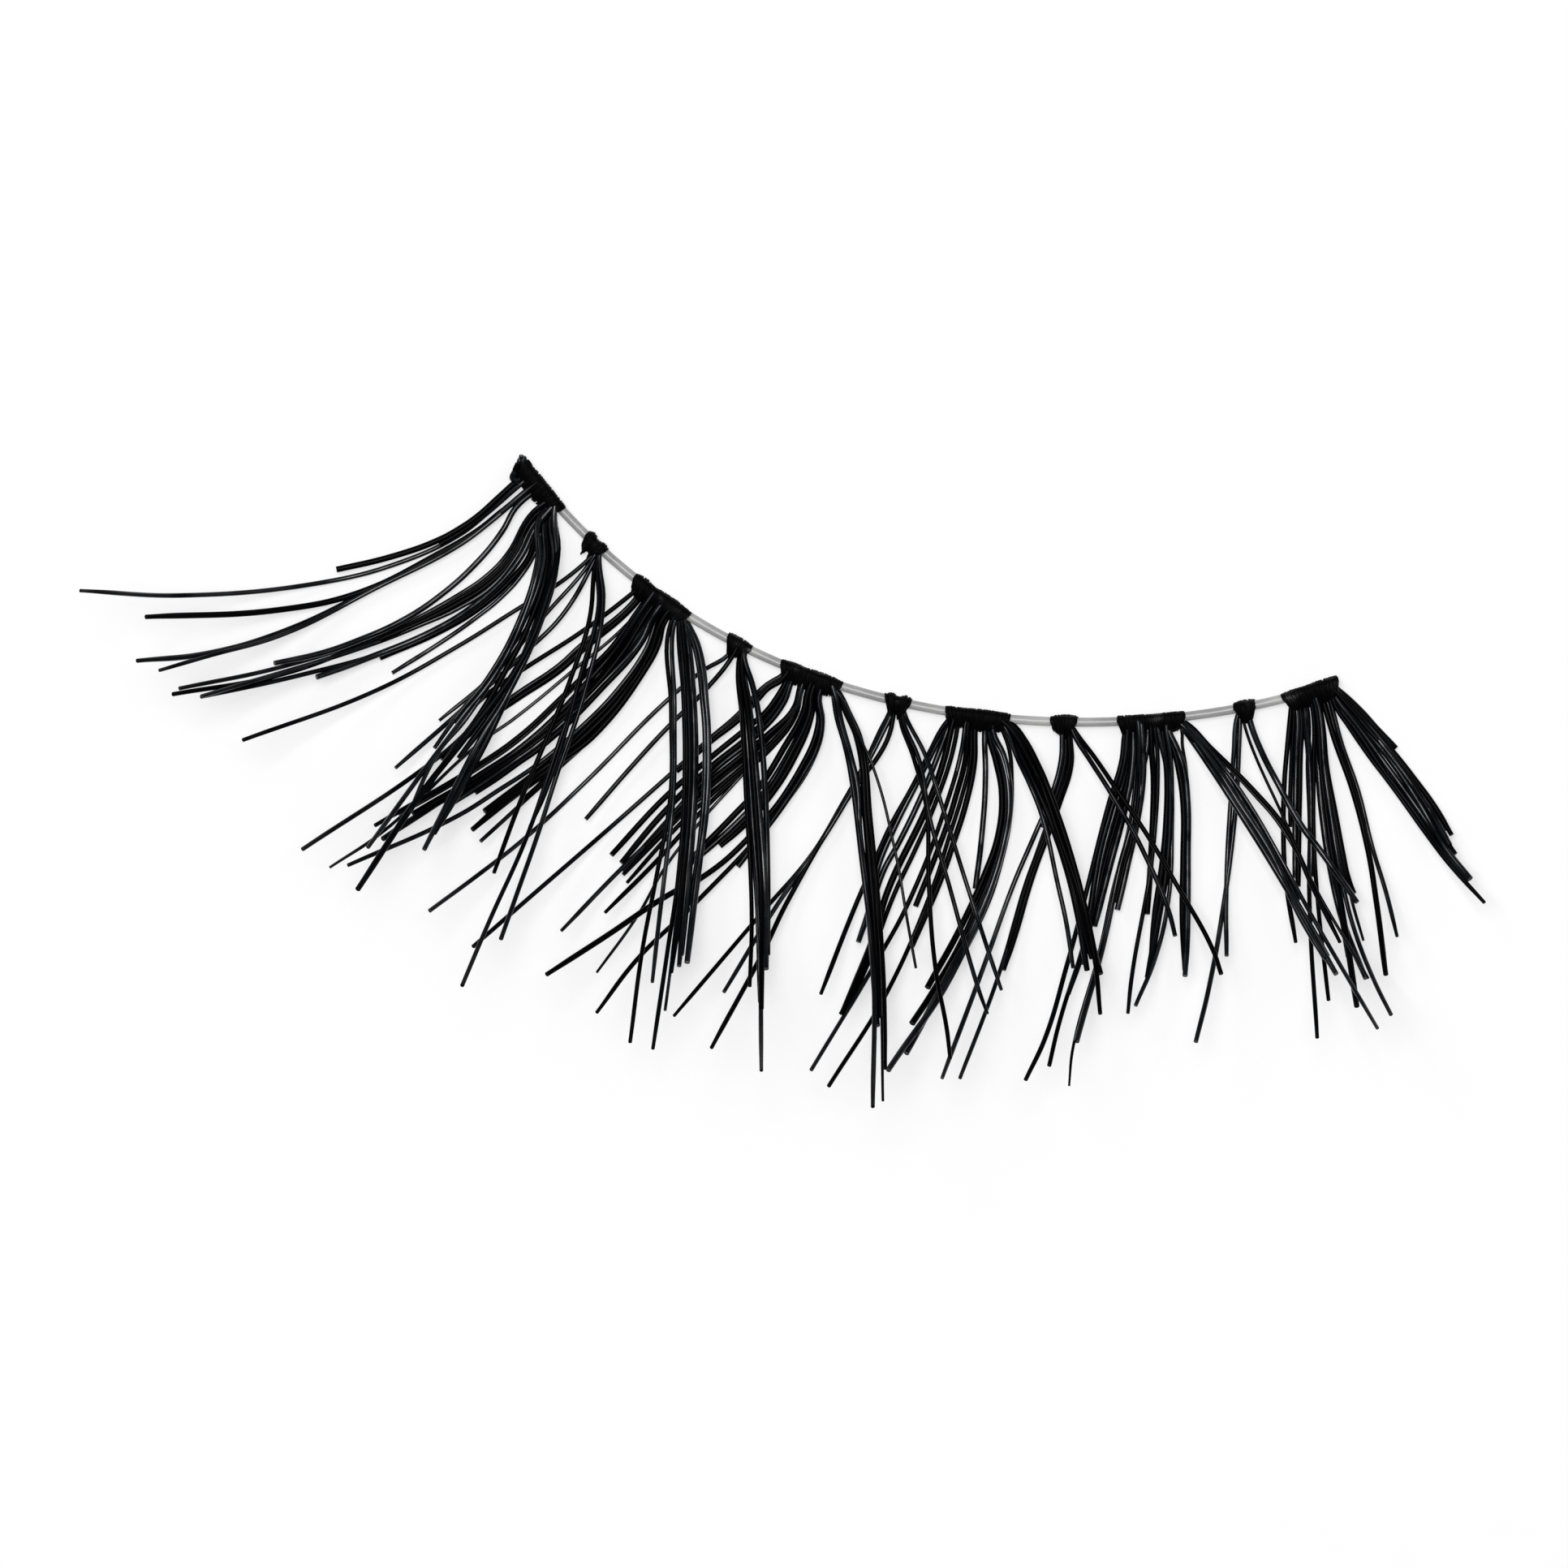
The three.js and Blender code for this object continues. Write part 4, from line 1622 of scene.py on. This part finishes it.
@dataclass(frozen=True)
class Lamp:
    """One soft light.

    Attributes:
        name: The light's name.
        place: Where it stands, in metres.
        size: The side of its square panel, in metres.
        watts: Its strength.
    """

    name: str
    place: tuple[float, float, float]
    size: float
    watts: float


@dataclass
class Studio:
    """The floor, the lights and the camera.

    Attributes:
        finish: The floor's material.
        floor_side: The floor's side, in metres.
        floor_drop: The gap between the floor and the strip, in metres.
        world_strength: The strength of the pale surround.
        frame_width: The width that the picture takes in, in metres.
        frame_middle: The place on the floor under the camera, in metres.
        lens: The camera's focal length, in millimetres.
        sensor: The width of its sensor, in millimetres.
        sight: How far the camera sees, in metres.
        lamps: The soft lights.
    """

    finish: bpy.types.Material
    floor_side: float = 6.0
    floor_drop: float = 0.00002
    world_strength: float = 0.16
    frame_width: float = 0.0496
    frame_middle: Flat = (-0.0036, -0.0026)
    lens: float = 500.0
    sensor: float = 36.0
    sight: float = 50.0
    lamps: tuple[Lamp, ...] = (
        Lamp("top", (-0.06, 0.08, 0.7), 0.3, 3.8),
        Lamp("key", (-0.3, 0.32, 0.42), 0.2, 0.6),
        Lamp("fill", (0.38, 0.1, 0.4), 0.4, 0.4),
    )

    def build(self) -> None:
        """Makes the floor, the lights and the camera."""
        self._floor()
        self._light()
        self._camera()

    def _floor(self) -> None:
        """A wide plain floor, just under the strip."""
        half = self.floor_side / 2
        corners = [(-half, -half), (half, -half), (half, half), (-half, half)]
        mesh = bpy.data.meshes.new("floor")
        mesh.from_pydata([(x, y, -self.floor_drop) for x, y in corners], [], [(0, 1, 2, 3)])
        mesh.materials.append(self.finish)
        floor = bpy.data.objects.new("floor", mesh)
        bpy.context.scene.collection.objects.link(floor)

    def _light(self) -> None:
        """An even pale surround and the soft lights."""
        world = bpy.data.worlds.new("studio")
        world.use_nodes = True
        surround = world.node_tree.nodes["Background"]
        surround.inputs["Color"].default_value = WHITE
        surround.inputs["Strength"].default_value = self.world_strength
        bpy.context.scene.world = world
        for lamp in self.lamps:
            light = bpy.data.lights.new(lamp.name, "AREA")
            light.size = lamp.size
            light.energy = lamp.watts
            panel = bpy.data.objects.new(lamp.name, light)
            panel.location = lamp.place
            panel.rotation_euler = (-Vector(lamp.place)).to_track_quat("-Z", "Y").to_euler()
            panel.visible_camera = False
            bpy.context.scene.collection.objects.link(panel)

    def _camera(self) -> None:
        """A long lens straight above the strip, as in the photograph."""
        data = bpy.data.cameras.new("camera")
        data.lens = self.lens
        data.sensor_width = self.sensor
        data.clip_end = self.sight
        camera = bpy.data.objects.new("camera", data)
        camera.location = (*self.frame_middle, self.frame_width * self.lens / self.sensor)
        bpy.context.scene.collection.objects.link(camera)
        scene = bpy.context.scene
        scene.camera = camera
        scene.view_settings.view_transform = "Standard"
        scene.view_settings.look = "None"


def main() -> None:
    """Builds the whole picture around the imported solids."""
    logging.basicConfig(level=logging.INFO, format="%(name)s %(message)s")
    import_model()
    line = BandLine()
    seats = {knot.node: KnotSeat.of(knot, line) for knot in KNOTS}
    Studio(FloorFinish().material()).build()
    Band(line, BandFinish().material()).build()
    Knots(line, seats, KnotFinish().material()).build(KNOTS)
    FibreLocks(PhotoChart(), line, seats, Curl(), FibreFinish().material()).build(LOCKS)


if __name__ == "__main__":
    main()
